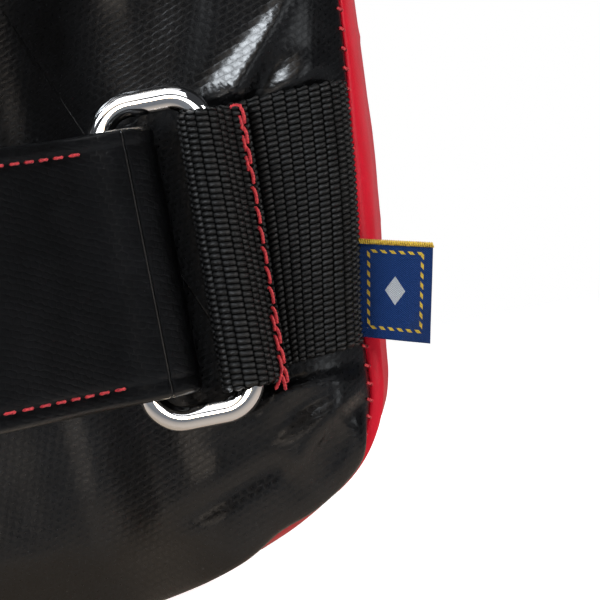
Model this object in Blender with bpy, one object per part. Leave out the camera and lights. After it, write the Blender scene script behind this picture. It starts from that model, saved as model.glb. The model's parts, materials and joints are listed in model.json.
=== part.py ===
"""Thai pad: a forearm-worn kick and punch shield.

Frame: X across the width, Z along the length, Y through the thickness.
The strike face looks along +Y and the forearm side along -Y. Heights above the
middle plane on the forearm side are called "up" and mean -Y.
The origin is the middle of the flat on the elbow end, with Z = 0 on that flat.
"""
import math

import bmesh
import bpy
from mathutils import Vector
from mathutils.geometry import interpolate_bezier

MM = 0.001

# Driving dimensions, in millimetres
LENGTH = 390.0
HALF_WIDTH = 100.0
SIDE_RADIUS = 1540.0        # the long sides are slightly barrelled
END_RADIUS = 174.0          # the two ends are arched
CORNER_RADIUS = 26.0
END_CROWN = 1.6             # how far the end arch would pass the end flat
STRIKE_UP = -45.0           # outer surface of the strike face
SEAM_UP = 52.0              # seam between the red side and the black back
CHANNEL_SEAM_UP = 34.0      # the same seam where the forearm channel runs out
CHANNEL_HALF_WIDTH = 30.0
BOLSTER_INNER = 58.0        # where the bolster reaches its full height
PUFF_HEIGHT = 8.0           # how far the back stands above its seam
PUFF_REACH = 12.0
EDGE_INSET = 2.2            # how far the seam lies inside the pad's widest outline
LEATHER = 1.2
GAP = 0.35

STRAP_HEIGHTS = {"lower": 65.0, "upper": 180.0}
WEBBING_WIDTH = 50.0
WEBBING_THICK = 1.8
STRAP_WIDTH = 48.0
STRAP_THICK = 3.0
TAPE_WIDTH = 44.0
TAPE_THICK = 1.2
TAPE_GAP = 0.3
PILE_GAP = 0.4

WIRE_RADIUS = 2.3
RING_SPAN = 18.5            # between the centres of the ring's two long bars
RING_HALF_LENGTH = 28.3     # from the middle to the centre of a short side
RING_CORNER = 6.0
RING_TILT = math.radians(5)
BAR_LOOSENESS = 1.1
WRAP_LOOSENESS = 4.2
BAR_X, BAR_UP = 67.2, 65.7  # the bar that the webbing is folded round

STRAP_CREST = Vector((2.0, 96.0))
STRAP_HINGE = Vector((-69.0, 65.5))

HANDLE_Z = 300.0
HANDLE_PIVOT_UP = 62.4
GRIP_UP = 90.0
GRIP_HALF_LENGTH = 42.0
GRIP_RADIUS = 13.5
HANDLE_WEBBING_WIDTH = 24.0
HANDLE_WEBBING_THICK = 2.4
RIVET_X = (66.0, 78.0)
RIVET_SHANK = 1.8

TAG_Z = 53.5
TAG_HEIGHT = 17.5
TAG_WIDTH = 12.0
TAG_DROOP = math.radians(11)
TAG_X, TAG_UP = 91.6, 53.6


# ---------------------------------------------------------------- materials

def material(name, colour, roughness, metallic=0.0):
    found = bpy.data.materials.get(name)
    if found:
        return found
    made = bpy.data.materials.new(name)
    made.use_nodes = True
    shader = made.node_tree.nodes["Principled BSDF"]
    shader.inputs["Base Color"].default_value = (*colour, 1.0)
    shader.inputs["Roughness"].default_value = roughness
    shader.inputs["Metallic"].default_value = metallic
    return made


def red_leather():
    return material("red_leather", (0.62, 0.012, 0.03), 0.35)


def black_leather():
    return material("black_leather", (0.012, 0.012, 0.014), 0.38)


def black_webbing():
    return material("black_webbing", (0.015, 0.015, 0.016), 0.7)


def chrome():
    return material("chrome", (0.82, 0.82, 0.84), 0.08, 1.0)


def foam(name, colour):
    return material(name, colour, 0.9)


def tape():
    return material("hook_and_loop", (0.01, 0.01, 0.011), 0.95)


# ---------------------------------------------------------------- mesh helpers

def add_piece(name, verts, faces, mat, origin=(0.0, 0.0, 0.0)):
    """A closed piece from points in X, up, Z millimetres, with its origin on origin (world metres)."""
    mesh = bpy.data.meshes.new(name)
    start = Vector(origin)
    points = [Vector((x, -up, z)) * MM - start for x, up, z in verts]
    mesh.from_pydata(points, [], faces)
    work = bmesh.new()
    work.from_mesh(mesh)
    bmesh.ops.recalc_face_normals(work, faces=work.faces)
    work.to_mesh(mesh)
    work.free()
    mesh.materials.append(mat)
    mesh.shade_smooth()
    mesh.set_sharp_from_angle(angle=math.radians(35))
    piece = bpy.data.objects.new(name, mesh)
    piece.location = start
    bpy.context.scene.collection.objects.link(piece)
    return piece


def loft(rings, closed=False):
    """Quads between equal rings, ends capped unless the loft closes on itself."""
    count = len(rings[0])
    verts = [point for ring in rings for point in ring]
    spans = len(rings) if closed else len(rings) - 1
    faces = []
    for level in range(spans):
        here = level * count
        there = (level + 1) % len(rings) * count
        for i in range(count):
            j = (i + 1) % count
            faces.append((here + i, here + j, there + j, there + i))
    if not closed:
        faces.append(tuple(range(count)))
        faces.append(tuple(range((len(rings) - 1) * count, len(rings) * count)))
    return verts, faces


def band(path, thick, z_low, z_high):
    """A strap: a path in X and up, thickened about its line and extruded along Z."""
    rings = []
    for point, normal in zip(path, path_normals(path)):
        outer = point + normal * thick / 2
        inner = point - normal * thick / 2
        rings.append([(outer.x, outer.y, z_low), (outer.x, outer.y, z_high),
                      (inner.x, inner.y, z_high), (inner.x, inner.y, z_low)])
    return loft(rings)


def ribbon(paths, thick):
    """A strap whose line changes across its width: paths holds (Z, path) pairs of equal length."""
    sides = []
    for z, path in paths:
        normals = path_normals(path)
        outer = [(p + n * thick / 2).to_tuple() + (z,) for p, n in zip(path, normals)]
        inner = [(p - n * thick / 2).to_tuple() + (z,) for p, n in zip(path, normals)]
        sides.append((outer, inner))
    rings = []
    for i in range(len(paths[0][1])):
        rings.append([outer[i] for outer, _ in sides] + [inner[i] for _, inner in reversed(sides)])
    return loft(rings)


def path_normals(path):
    normals = []
    for i in range(len(path)):
        along = path[min(i + 1, len(path) - 1)] - path[max(i - 1, 0)]
        normals.append(Vector((-along.y, along.x)).normalized())
    return normals


def offset_path(path, distance):
    return [point + normal * distance for point, normal in zip(path, path_normals(path))]


def arc(centre, radius, start, end, steps):
    """Points on an arc, angles in degrees from +X towards up."""
    points = []
    for i in range(steps + 1):
        angle = math.radians(start + (end - start) * i / steps)
        points.append(Vector(centre) + radius * Vector((math.cos(angle), math.sin(angle))))
    return points


def bezier(start, handle_a, handle_b, end, steps):
    ends = [Vector((p[0], p[1], 0.0)) for p in (start, handle_a, handle_b, end)]
    return [point.to_2d() for point in interpolate_bezier(*ends, steps + 1)]


def rounded_start(path, thick, steps=3):
    """A half-round nose at the start of a band, as a list of (point, half thickness)."""
    along = (path[1] - path[0]).normalized()
    half = thick / 2
    nose = []
    for i in range(steps):
        angle = math.radians(80 - 80 * i / steps)
        nose.append((path[0] - along * half * math.sin(angle), half * math.cos(angle)))
    return nose


def nosed_band(path, thick, z_low, z_high):
    """A band whose first end is rounded, so that it can turn about its first point."""
    normals = path_normals(path)
    stations = [(p, half, normals[0]) for p, half in rounded_start(path, thick)]
    stations += [(p, thick / 2, n) for p, n in zip(path, normals)]
    rings = []
    for point, half, normal in stations:
        outer = point + normal * half
        inner = point - normal * half
        rings.append([(outer.x, outer.y, z_low), (outer.x, outer.y, z_high),
                      (inner.x, inner.y, z_high), (inner.x, inner.y, z_low)])
    return loft(rings)


# ---------------------------------------------------------------- outline of the pad

END_CENTRE = Vector((0.0, END_RADIUS - END_CROWN))
SIDE_CENTRE = Vector((HALF_WIDTH - SIDE_RADIUS, LENGTH / 2))


def corner_centre():
    """Centre of the fillet that touches the end arch and the long side from inside."""
    to_side = SIDE_RADIUS - CORNER_RADIUS
    to_end = END_RADIUS - CORNER_RADIUS
    between = END_CENTRE - SIDE_CENTRE
    distance = between.length
    along = (to_side ** 2 - to_end ** 2 + distance ** 2) / (2 * distance)
    away = math.sqrt(to_side ** 2 - along ** 2)
    unit = between / distance
    return SIDE_CENTRE + unit * along + Vector((unit.y, -unit.x)) * away * math.copysign(1, unit.x)


CORNER_CENTRE = corner_centre()


def quarter(inset, x_start=0.0, end_steps=5, corner_steps=5, side_steps=4):
    """The lower right quarter of the outline, from the end's middle to the side's middle."""
    end_touch = CORNER_CENTRE - END_CENTRE
    side_touch = CORNER_CENTRE - SIDE_CENTRE
    angle_end = math.atan2(end_touch.y, end_touch.x)
    angle_side = math.atan2(side_touch.y, side_touch.x)
    radius = END_RADIUS - inset
    angle_start = -math.pi / 2 + math.asin(x_start / radius)
    spans = [(END_CENTRE, radius, angle_start, angle_end, end_steps),
             (CORNER_CENTRE, CORNER_RADIUS - inset, angle_end, angle_side, corner_steps),
             (SIDE_CENTRE, SIDE_RADIUS - inset, angle_side, 0.0, side_steps)]
    points = []
    for centre, size, first, last, steps in spans:
        for i in range(steps):
            angle = first + (last - first) * i / steps
            points.append(centre + size * Vector((math.cos(angle), math.sin(angle))))
    points.append(Vector((HALF_WIDTH - inset, LENGTH / 2)))
    return [Vector((p.x, max(p.y, inset))) for p in points]


def right_half(inset, x_start=0.0):
    low = quarter(inset, x_start)
    high = [Vector((p.x, LENGTH - p.y)) for p in reversed(low[:-1])]
    return low + high


def outline(inset):
    """The whole outline as points in X and Z, counter-clockwise."""
    right = right_half(inset)
    left = [Vector((-p.x, p.y)) for p in reversed(right[1:-1])]
    return right + left


def half_width_at(z):
    """Half the outline's width at a height on the long side or the corner."""
    side_touch = SIDE_CENTRE + (CORNER_CENTRE - SIDE_CENTRE).normalized() * SIDE_RADIUS
    if z > side_touch.y:
        return SIDE_CENTRE.x + math.sqrt(SIDE_RADIUS ** 2 - (z - SIDE_CENTRE.y) ** 2)
    return CORNER_CENTRE.x + math.sqrt(CORNER_RADIUS ** 2 - (z - CORNER_CENTRE.y) ** 2)


def smooth(value):
    value = min(max(value, 0.0), 1.0)
    return value * value * (3 - 2 * value)


def seam_up(x):
    """Height of the seam round the back, which dips where the forearm channel runs out."""
    blend = smooth((abs(x) - CHANNEL_HALF_WIDTH) / (BOLSTER_INNER - CHANNEL_HALF_WIDTH))
    return CHANNEL_SEAM_UP + (SEAM_UP - CHANNEL_SEAM_UP) * blend


def back_up(x, inset):
    """Outer surface of the back cover."""
    reach = min(max(inset - EDGE_INSET, 0.0) / PUFF_REACH, 1.0)
    return seam_up(x) + PUFF_HEIGHT * math.sqrt(1 - (1 - reach) ** 2)


# ---------------------------------------------------------------- covers

def side_gusset():
    """The red band round the pad's edge, open towards both faces."""
    base = outline(0.0)
    strike_edge = -STRIKE_UP - 6.0

    def ring(inset, height):
        return [(p.x, height(b.x), p.y) for p, b in zip(outline(inset), base)]

    levels = [(EDGE_INSET, lambda x: -strike_edge), (0.0, lambda x: 5.0 - strike_edge),
              (0.0, lambda x: seam_up(x) - 8.0), (EDGE_INSET, seam_up)]
    rings = [ring(inset, height) for inset, height in levels]
    rings += [ring(inset + LEATHER, height) for inset, height in reversed(levels)]
    verts, faces = loft(rings, closed=True)
    return add_piece("side_gusset", verts, faces, red_leather())


def strike_cover():
    """The red face that is struck, crowned at its rim and flat in its middle."""
    rim = STRIKE_UP + 6.0 - GAP
    outer = [(EDGE_INSET, rim), (5.0, STRIKE_UP + 2.5), (10.0, STRIKE_UP + 0.7), (18.0, STRIKE_UP)]
    inner = [(18.0, STRIKE_UP + LEATHER), (10.5, STRIKE_UP + 0.7 + LEATHER),
             (6.0, STRIKE_UP + 2.5 + LEATHER), (EDGE_INSET + LEATHER, rim)]
    rings = [[(p.x, up, p.y) for p in outline(inset)] for inset, up in inner + outer]
    verts, faces = loft(rings)
    return add_piece("strike_cover", verts, faces, red_leather())


def back_rings(sink, shift):
    """Rings of the back cover from its rim inwards, sunk by sink and inset by shift at the rim."""
    base = outline(0.0)
    centre = Vector((0.0, LENGTH / 2))
    rings = []
    rim = [seam_up(b.x) + GAP for b in base]
    rings.append([(p.x, up, p.y) for p, up in zip(outline(EDGE_INSET + shift), rim)])
    for inset in (3.6, 6.0, 10.0, 14.0, 20.0):
        ring = outline(inset + shift)
        rings.append([(p.x, back_up(p.x, inset) - sink, p.y) for p in ring])
    last = outline(20.0 + shift)
    for scale in (0.86, 0.74, 0.62, 0.5, 0.38, 0.22):
        ring = [centre + (p - centre) * scale for p in last]
        rings.append([(p.x, back_up(p.x, LENGTH) - sink, p.y) for p in ring])
    return rings


def back_cover():
    """The black forearm side, with two bolsters and a channel for the forearm."""
    outer = back_rings(0.0, 0.0)
    inner = back_rings(LEATHER + 0.2, LEATHER)
    verts, faces = loft(list(reversed(inner)) + outer)
    piece = add_piece("back_cover", verts, faces, black_leather())
    holes = [cutter(x, RIVET_SHANK + 0.4, 40.0, 70.0) for x in rivet_places()]
    cut(piece, holes)
    return piece


# ---------------------------------------------------------------- filling

def slab(name, inset, low, high, mat):
    rings = [[(p.x, up, p.y) for p in outline(inset)] for up in (low, high)]
    verts, faces = loft(rings)
    return add_piece(name, verts, faces, mat)


def strike_foam():
    levels = [(4.0, -22.0), (4.0, -35.0), (12.0, STRIKE_UP + 2.6)]
    rings = [[(p.x, up, p.y) for p in outline(inset)] for inset, up in levels]
    verts, faces = loft(rings)
    return add_piece("strike_foam", verts, faces, foam("dense_foam", (0.08, 0.08, 0.09)))


def middle_foam():
    return slab("middle_foam", 4.0, -21.5, -2.0, foam("middle_foam", (0.75, 0.75, 0.72)))


def rear_foam():
    return slab("rear_foam", 4.0, -1.5, 18.0, foam("soft_foam", (0.85, 0.78, 0.45)))


def stiffener_board():
    return slab("stiffener_board", 6.0, 18.5, 21.5, foam("board", (0.45, 0.33, 0.2)))


def bolster_foam(name, side):
    """One of the two firm bars that make the sides of the forearm channel."""
    levels = [(22.0, 4.0, 38.0), (38.0, 4.0, 41.0), (50.0, 6.0, 53.0), (55.5, 10.0, 59.0)]
    rings = []
    for up, inset, inner_x in levels:
        rings.append([(side * p.x, up, p.y) for p in right_half(inset, inner_x)])
    verts, faces = loft(rings)
    return add_piece(name, verts, faces, foam("bolster_foam", (0.2, 0.2, 0.21)))


def channel_foam():
    """The soft slab that the forearm lies on."""
    half = CHANNEL_HALF_WIDTH - 2
    rings = []
    for up, margin in ((22.0, 8.0), (34.0, 8.0), (38.0, 13.0)):
        rings.append([(half, up, margin), (half, up, LENGTH - margin),
                      (-half, up, LENGTH - margin), (-half, up, margin)])
    verts, faces = loft(rings)
    return add_piece("channel_foam", verts, faces, foam("soft_foam", (0.85, 0.78, 0.45)))


# ---------------------------------------------------------------- holes

def cutter(x, radius, low, high, z=HANDLE_Z, sides=12):
    """A hidden round bar along Y, used only to cut holes."""
    rings = []
    for up in (low, high):
        ring = []
        for i in range(sides):
            angle = 2 * math.pi * i / sides
            ring.append((x + radius * math.cos(angle), up, z + radius * math.sin(angle)))
        rings.append(ring)
    verts, faces = loft(rings)
    bar = add_piece(f"cutter_{len(bpy.data.objects)}", verts, faces, black_leather())
    bar.hide_render = True
    bar.display_type = "WIRE"
    return bar


def cut(piece, cutters):
    for bar in cutters:
        hole = piece.modifiers.new(bar.name, "BOOLEAN")
        hole.operation = "DIFFERENCE"
        hole.solver = "EXACT"
        hole.object = bar


# ---------------------------------------------------------------- straps and rings

def ring_bar_up():
    """The free bar of the ring, in X and up."""
    return Vector((BAR_X - RING_SPAN * math.cos(RING_TILT), BAR_UP + RING_SPAN * math.sin(RING_TILT)))


FREE_BAR = ring_bar_up()
WRAP_RADIUS = WIRE_RADIUS + WRAP_LOOSENESS + STRAP_THICK / 2
PEEL_HINGE = FREE_BAR + Vector((0.0, WRAP_RADIUS))
TAIL_LIFT = STRAP_THICK + 2 * TAPE_THICK + 2 * TAPE_GAP + PILE_GAP


def arch_path():
    """The strap's line over the channel, from the ring to the left bolster."""
    low = FREE_BAR - Vector((0.0, WRAP_RADIUS))
    rise = bezier(low, low + Vector((-10.0, 0.0)), STRAP_CREST + Vector((32.0, 0.0)), STRAP_CREST, 9)
    fall = bezier(STRAP_CREST, STRAP_CREST + Vector((-32.0, 0.0)), STRAP_HINGE + Vector((12.0, 20.0)),
                  STRAP_HINGE, 8)
    return rise + fall[1:]


def ring_webbing(prefix, middle):
    """Webbing sewn into the side seam, folded round the ring's bar and back over itself."""
    flat_up = BAR_UP - WIRE_RADIUS - BAR_LOOSENESS - WEBBING_THICK / 2
    radius = BAR_UP - flat_up
    fold = arc((BAR_X, BAR_UP), radius, 270, 90, 12)
    return_up = flat_up + WEBBING_THICK + GAP
    run_out = bezier((BAR_X, BAR_UP + radius), (BAR_X + 3.0, BAR_UP + radius),
                     (BAR_X + 3.2, return_up), (BAR_X + 7.0, return_up), 4)
    paths = []
    for z in across(middle, WEBBING_WIDTH):
        paths.append((z, seam_run(half_width_at(z), flat_up) + fold + run_out[1:]))
    verts, faces = ribbon(paths, WEBBING_THICK)
    return add_piece(f"{prefix}_ring_webbing", verts, faces, black_webbing())


def across(middle, width, spans=4):
    """Heights across a strap's width."""
    return [middle - width / 2 + width * i / spans for i in range(spans + 1)]


def seam_run(edge, flat_up):
    """A strap's line out of the side seam and over the puffed edge, towards the pad's middle."""
    return bezier((edge - 2.6, SEAM_UP + 4.8), (edge - 4.2, flat_up - 1.0), (edge - 7.5, flat_up),
                  (edge - 15.0, flat_up), 6)


def ring_centreline():
    """The ring's wire in its own plane: distance from the captured bar, and height."""
    corners = []
    high = RING_HALF_LENGTH - RING_CORNER
    near, far = RING_CORNER, RING_SPAN - RING_CORNER
    corners += arc((far, high), RING_CORNER, 0, 90, 5)
    corners += arc((near, high), RING_CORNER, 90, 180, 5)
    corners += arc((near, -high), RING_CORNER, 180, 270, 5)
    corners += arc((far, -high), RING_CORNER, 270, 360, 5)
    return corners


def chrome_ring(prefix, middle, sides=10):
    """A rectangular ring of round wire, with its origin on the bar that the webbing holds."""
    line = ring_centreline()
    rings = []
    for i, point in enumerate(line):
        along = (line[(i + 1) % len(line)] - line[i - 1]).normalized()
        outward = Vector((along.y, -along.x))
        section = []
        for k in range(sides):
            angle = 2 * math.pi * k / sides
            flat = point + outward * WIRE_RADIUS * math.cos(angle)
            lift = WIRE_RADIUS * math.sin(angle)
            x = BAR_X - flat.x * math.cos(RING_TILT) + lift * math.sin(RING_TILT)
            up = BAR_UP + flat.x * math.sin(RING_TILT) + lift * math.cos(RING_TILT)
            section.append((x, up, middle + flat.y))
        rings.append(section)
    verts, faces = loft(rings, closed=True)
    origin = Vector((BAR_X, -BAR_UP, middle)) * MM
    return add_piece(f"{prefix}_ring", verts, faces, chrome(), origin)


def strap_root(prefix, middle):
    """The strap's sewn end, lying on the left bolster."""
    flat_up = SEAM_UP + PUFF_HEIGHT + 2 * GAP + STRAP_THICK / 2
    paths = []
    for z in across(middle, STRAP_WIDTH):
        run = [Vector((-p.x, p.y)) for p in seam_run(half_width_at(z), flat_up)]
        paths.append((z, run + [Vector((-75.0, flat_up + 0.6)), Vector((-71.4, flat_up + 2.0))]))
    verts, faces = ribbon(paths, STRAP_THICK)
    return add_piece(f"{prefix}_strap_root", verts, faces, black_leather())


def strap_base(prefix, middle):
    """The strap over the channel and round the ring's free bar; it turns at the left bolster."""
    wrap = arc(FREE_BAR, WRAP_RADIUS, 70, -90, 9)
    path = list(reversed(wrap + arch_path()[1:]))
    half = STRAP_WIDTH / 2
    verts, faces = nosed_band(path, STRAP_THICK, middle - half, middle + half)
    origin = Vector((STRAP_HINGE.x, -STRAP_HINGE.y, middle)) * MM
    return add_piece(f"{prefix}_strap_base", verts, faces, black_leather(), origin)


def tail_path():
    """The strap's free end, from the peel hinge back over the base."""
    over = [p for p in offset_path(arch_path(), -TAIL_LIFT) if -44.0 < p.x < 31.0]
    along = (over[0] - over[1]).normalized()
    lead = bezier(PEEL_HINGE, PEEL_HINGE + Vector((-9.0, 1.0)), over[0] + along * 9.0, over[0], 4)
    return lead + over[1:]


def strap_tail(prefix, middle):
    half = STRAP_WIDTH / 2
    verts, faces = nosed_band(tail_path(), STRAP_THICK, middle - half, middle + half)
    origin = Vector((PEEL_HINGE.x, -PEEL_HINGE.y, middle)) * MM
    return add_piece(f"{prefix}_strap_tail", verts, faces, black_leather(), origin)


def loop_tape(prefix, middle):
    """Loop tape on the outside of the base."""
    lift = STRAP_THICK / 2 + TAPE_GAP + TAPE_THICK / 2
    path = [p for p in offset_path(arch_path(), -lift) if -50.0 < p.x < 30.0]
    half = TAPE_WIDTH / 2
    verts, faces = band(path, TAPE_THICK, middle - half, middle + half)
    return add_piece(f"{prefix}_loop_tape", verts, faces, tape())


def hook_tape(prefix, middle):
    """Hook tape on the inside of the tail's free end."""
    lift = STRAP_THICK / 2 + 1.5 * TAPE_THICK + TAPE_GAP + PILE_GAP
    path = [p for p in offset_path(arch_path(), -lift) if -42.0 < p.x < 6.0]
    half = TAPE_WIDTH / 2
    verts, faces = band(path, TAPE_THICK, middle - half, middle + half)
    return add_piece(f"{prefix}_hook_tape", verts, faces, tape())


# ---------------------------------------------------------------- handle

def rivet_places():
    return [side * x for side in (-1, 1) for x in RIVET_X]


def handle_webbing():
    """The webbing arch that carries the grip; it swings about its two feet."""
    right = bezier((60.5, 67.6), (58.5, 78.0), (56.0, GRIP_UP), (46.0, GRIP_UP), 7)
    left = [Vector((-p.x, p.y)) for p in reversed(right)]
    half = HANDLE_WEBBING_WIDTH / 2
    verts, faces = band(right + left, HANDLE_WEBBING_THICK, HANDLE_Z - half, HANDLE_Z + half)
    origin = Vector((0.0, -HANDLE_PIVOT_UP, HANDLE_Z)) * MM
    return add_piece("handle_webbing", verts, faces, black_webbing(), origin)


def circle(radius, sides=24):
    points = []
    for i in range(sides):
        angle = 2 * math.pi * (i + 0.5) / sides
        points.append(Vector((radius * math.cos(angle), radius * math.sin(angle))))
    return points


def slot(half_up, half_z, sides=24):
    """A rectangle with as many points as the circle round it, in up and Z."""
    points = []
    for p in circle(1.0, sides):
        reach = max(abs(p.x) / half_up, abs(p.y) / half_z)
        points.append(p / reach)
    return points


def sleeve(name, outer, inner, half_length, mat):
    """A tube along X, from two profiles in up and Z about the grip's middle."""
    def ring(x, profile):
        return [(x, GRIP_UP + p.x, HANDLE_Z + p.y) for p in profile]

    rings = [ring(-half_length, outer), ring(half_length, outer),
             ring(half_length, inner), ring(-half_length, inner)]
    verts, faces = loft(rings, closed=True)
    origin = Vector((0.0, -HANDLE_PIVOT_UP, HANDLE_Z)) * MM
    return add_piece(name, verts, faces, mat, origin)


def handle_foam():
    hole = slot(HANDLE_WEBBING_THICK / 2 + 0.4, HANDLE_WEBBING_WIDTH / 2 - 1.6)
    hole = [Vector((p.x, p.y * (HANDLE_WEBBING_WIDTH / 2 + 0.4) / (HANDLE_WEBBING_WIDTH / 2 - 1.6)))
            for p in hole]
    return sleeve("handle_foam", circle(GRIP_RADIUS), hole, GRIP_HALF_LENGTH,
                  foam("grip_foam", (0.1, 0.1, 0.1)))


def handle_wrap():
    return sleeve("handle_wrap", circle(GRIP_RADIUS + 0.4 + LEATHER), circle(GRIP_RADIUS + 0.4),
                  GRIP_HALF_LENGTH + 1.5, black_leather())


def handle_anchor(name, side):
    """A leather patch riveted through the back cover; the webbing arch swings at its lip."""
    path = [Vector((84.0, 61.8)), Vector((72.0, 61.8)), Vector((60.0, 61.8)),
            Vector((57.4, 62.8)), Vector((55.8, 64.4))]
    path = [Vector((side * p.x, p.y)) for p in path]
    verts, faces = band(path, 2.2, HANDLE_Z - 17.0, HANDLE_Z + 17.0)
    piece = add_piece(name, verts, faces, black_leather())
    cut(piece, [cutter(side * x, RIVET_SHANK + 0.4, 55.0, 70.0) for x in RIVET_X])
    return piece


def turned(name, x, profile, mat, sides=16):
    """A piece turned about a line along Y, from a profile of (radius, up) points."""
    verts, faces = [], []
    rows = []
    for radius, up in profile:
        if radius == 0.0:
            rows.append([len(verts)])
            verts.append((x, up, HANDLE_Z))
            continue
        rows.append([len(verts) + i for i in range(sides)])
        for i in range(sides):
            angle = 2 * math.pi * i / sides
            verts.append((x + radius * math.cos(angle), up, HANDLE_Z + radius * math.sin(angle)))
    pairs = list(zip(rows, rows[1:]))
    if len(rows[0]) > 1:
        pairs.append((rows[-1], rows[0]))
    for low, high in pairs:
        for i in range(sides):
            j = (i + 1) % sides
            corners = [low[i % len(low)], low[j % len(low)], high[j % len(high)], high[i % len(high)]]
            faces.append(tuple(dict.fromkeys(corners)))
    return add_piece(name, verts, faces, mat)


def rivet(name, x):
    profile = [(0.0, 56.2), (RIVET_SHANK, 56.2), (RIVET_SHANK, 63.2), (5.0, 63.2),
               (5.0, 63.8), (3.4, 64.8), (0.0, 65.2)]
    return turned(name, x, profile, chrome())


def washer(name, x):
    profile = [(RIVET_SHANK + 0.3, 56.9), (5.5, 56.9), (5.5, 57.7), (RIVET_SHANK + 0.3, 57.7)]
    return turned(name, x, profile, chrome())


# ---------------------------------------------------------------- tag

def side_tag():
    """A folded woven label held in the side seam; it flaps about the seam."""
    half = TAG_HEIGHT / 2
    rings = []
    for along, lift in ((0.0, 0.0), (4.0, 0.25), (8.5, 0.3), (TAG_WIDTH, -0.4)):
        x = TAG_X + along * math.cos(TAG_DROOP)
        middle = TAG_Z - along * math.sin(TAG_DROOP)
        up = TAG_UP + 0.9 + lift
        rings.append([(x, up - 0.4, middle - half), (x, up + 0.4, middle - half),
                      (x, up + 0.4, middle + half), (x, up - 0.4, middle + half)])
    verts, faces = loft(rings)
    origin = Vector((TAG_X, -TAG_UP, TAG_Z)) * MM
    return add_piece("side_tag", verts, faces, material("tag_blue", (0.02, 0.06, 0.3), 0.6), origin)


# ---------------------------------------------------------------- assembly

def build():
    for old in list(bpy.data.objects):
        bpy.data.objects.remove(old, do_unlink=True)
    strike_cover()
    side_gusset()
    back_cover()
    strike_foam()
    middle_foam()
    rear_foam()
    stiffener_board()
    bolster_foam("bolster_foam_left", -1)
    bolster_foam("bolster_foam_right", 1)
    channel_foam()
    for prefix, middle in STRAP_HEIGHTS.items():
        ring_webbing(prefix, middle)
        chrome_ring(prefix, middle)
        strap_root(prefix, middle)
        strap_base(prefix, middle)
        loop_tape(prefix, middle)
        strap_tail(prefix, middle)
        hook_tape(prefix, middle)
    handle_webbing()
    handle_foam()
    handle_wrap()
    handle_anchor("handle_anchor_left", -1)
    handle_anchor("handle_anchor_right", 1)
    for number, x in enumerate(rivet_places(), start=1):
        rivet(f"handle_rivet_{number}", x)
        washer(f"handle_washer_{number}", x)
    side_tag()


build()
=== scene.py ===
"""Looks of the thai pad: covers, webbing, rings, straps, stitching, handle, tag and studio.

Frame: X across the width, Z along the length, Y through the thickness. Heights above the
middle plane on the forearm side are called "up" and mean -Y. Lengths are in millimetres
until a mesh is made.
"""
import json
import math
from functools import partialmethod

import bmesh
import bpy
import numpy as np
from mathutils import Matrix, Vector, noise

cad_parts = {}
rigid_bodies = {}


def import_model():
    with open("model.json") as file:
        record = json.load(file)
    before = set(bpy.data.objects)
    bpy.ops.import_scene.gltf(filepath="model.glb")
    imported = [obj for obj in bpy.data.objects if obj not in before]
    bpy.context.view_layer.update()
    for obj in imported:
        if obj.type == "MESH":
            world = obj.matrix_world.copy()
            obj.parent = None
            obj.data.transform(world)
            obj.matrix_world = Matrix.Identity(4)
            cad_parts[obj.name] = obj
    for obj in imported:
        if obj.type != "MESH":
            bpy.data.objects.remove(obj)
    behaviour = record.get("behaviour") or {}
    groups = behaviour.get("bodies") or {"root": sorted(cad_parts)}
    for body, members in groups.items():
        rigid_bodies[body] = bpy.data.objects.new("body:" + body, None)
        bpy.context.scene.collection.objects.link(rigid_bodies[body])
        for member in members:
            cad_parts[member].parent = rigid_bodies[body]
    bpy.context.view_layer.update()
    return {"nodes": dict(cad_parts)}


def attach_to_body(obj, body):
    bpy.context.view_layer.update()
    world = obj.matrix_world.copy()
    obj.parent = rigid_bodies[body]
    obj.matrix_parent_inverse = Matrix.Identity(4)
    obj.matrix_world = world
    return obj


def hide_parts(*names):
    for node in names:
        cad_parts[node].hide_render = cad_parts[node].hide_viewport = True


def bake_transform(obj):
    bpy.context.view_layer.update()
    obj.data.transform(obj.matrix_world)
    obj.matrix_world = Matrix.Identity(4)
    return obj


MM = 0.001

# The pad's outline and levels, as in the CAD
LENGTH = 390.0
HALF_WIDTH = 100.0
SIDE_RADIUS = 1540.0
END_RADIUS = 174.0
CORNER_RADIUS = 26.0
END_CROWN = 1.6
STRIKE_UP = -45.0
SEAM_UP = 52.0
CHANNEL_SEAM_UP = 34.0
CHANNEL_HALF_WIDTH = 30.0
BOLSTER_INNER = 58.0
PUFF_HEIGHT = 8.0
PUFF_REACH = 12.0
EDGE_INSET = 2.2

STRAPS = {"lower": 65.0, "upper": 180.0}
WEBBING_HALF = 25.0
WEBBING_THICK = 1.8
STRAP_HALF = 24.0
STRAP_THICK = 3.0
TAPE_HALF = 22.0
TAPE_THICK = 1.2
WIRE_RADIUS = 2.3
RING_SPAN = 18.5
RING_HALF_LENGTH = 28.3
RING_CORNER = 6.0
RING_TILT = math.radians(5)
BAR_X, BAR_UP = 67.2, 65.7
WEBBING_FLAT_UP = 61.4
FOLD_RADIUS = 4.3
FLAP_SEAM_X = 73.5       # where the webbing's returning end is sewn down
STRAP_CREST = (2.0, 96.0)
STRAP_HINGE = (-69.0, 65.5)
WRAP_RADIUS = 8.0
TAIL_LIFT = 6.4
TAPE_LIFT = 2.4
HOOK_LIFT = 4.0
HANDLE_Z = 300.0
GRIP_UP = 90.0
GRIP_RADIUS = 13.5
GRIP_HALF = 43.5
PATCH_UP = 61.9
PATCH_STITCH = 14.5      # from the patch's middle to its rows of stitches

# Weave of the webbing and sewing
COLUMN = 2.0            # pitch of the webbing's floats along its length
ROW = 1.08              # and across its width
FLOAT_HEIGHT = 0.5
WEAVE_LEAN = math.radians(5)
STITCH_PITCH = 3.6
FOLD_LEAN = 0.03        # the fold lies a little askew on its bar
THREAD_RADIUS = 0.32
STRAP_STITCH_IN = 3.2    # from a strap's edge to its row of stitches


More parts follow.
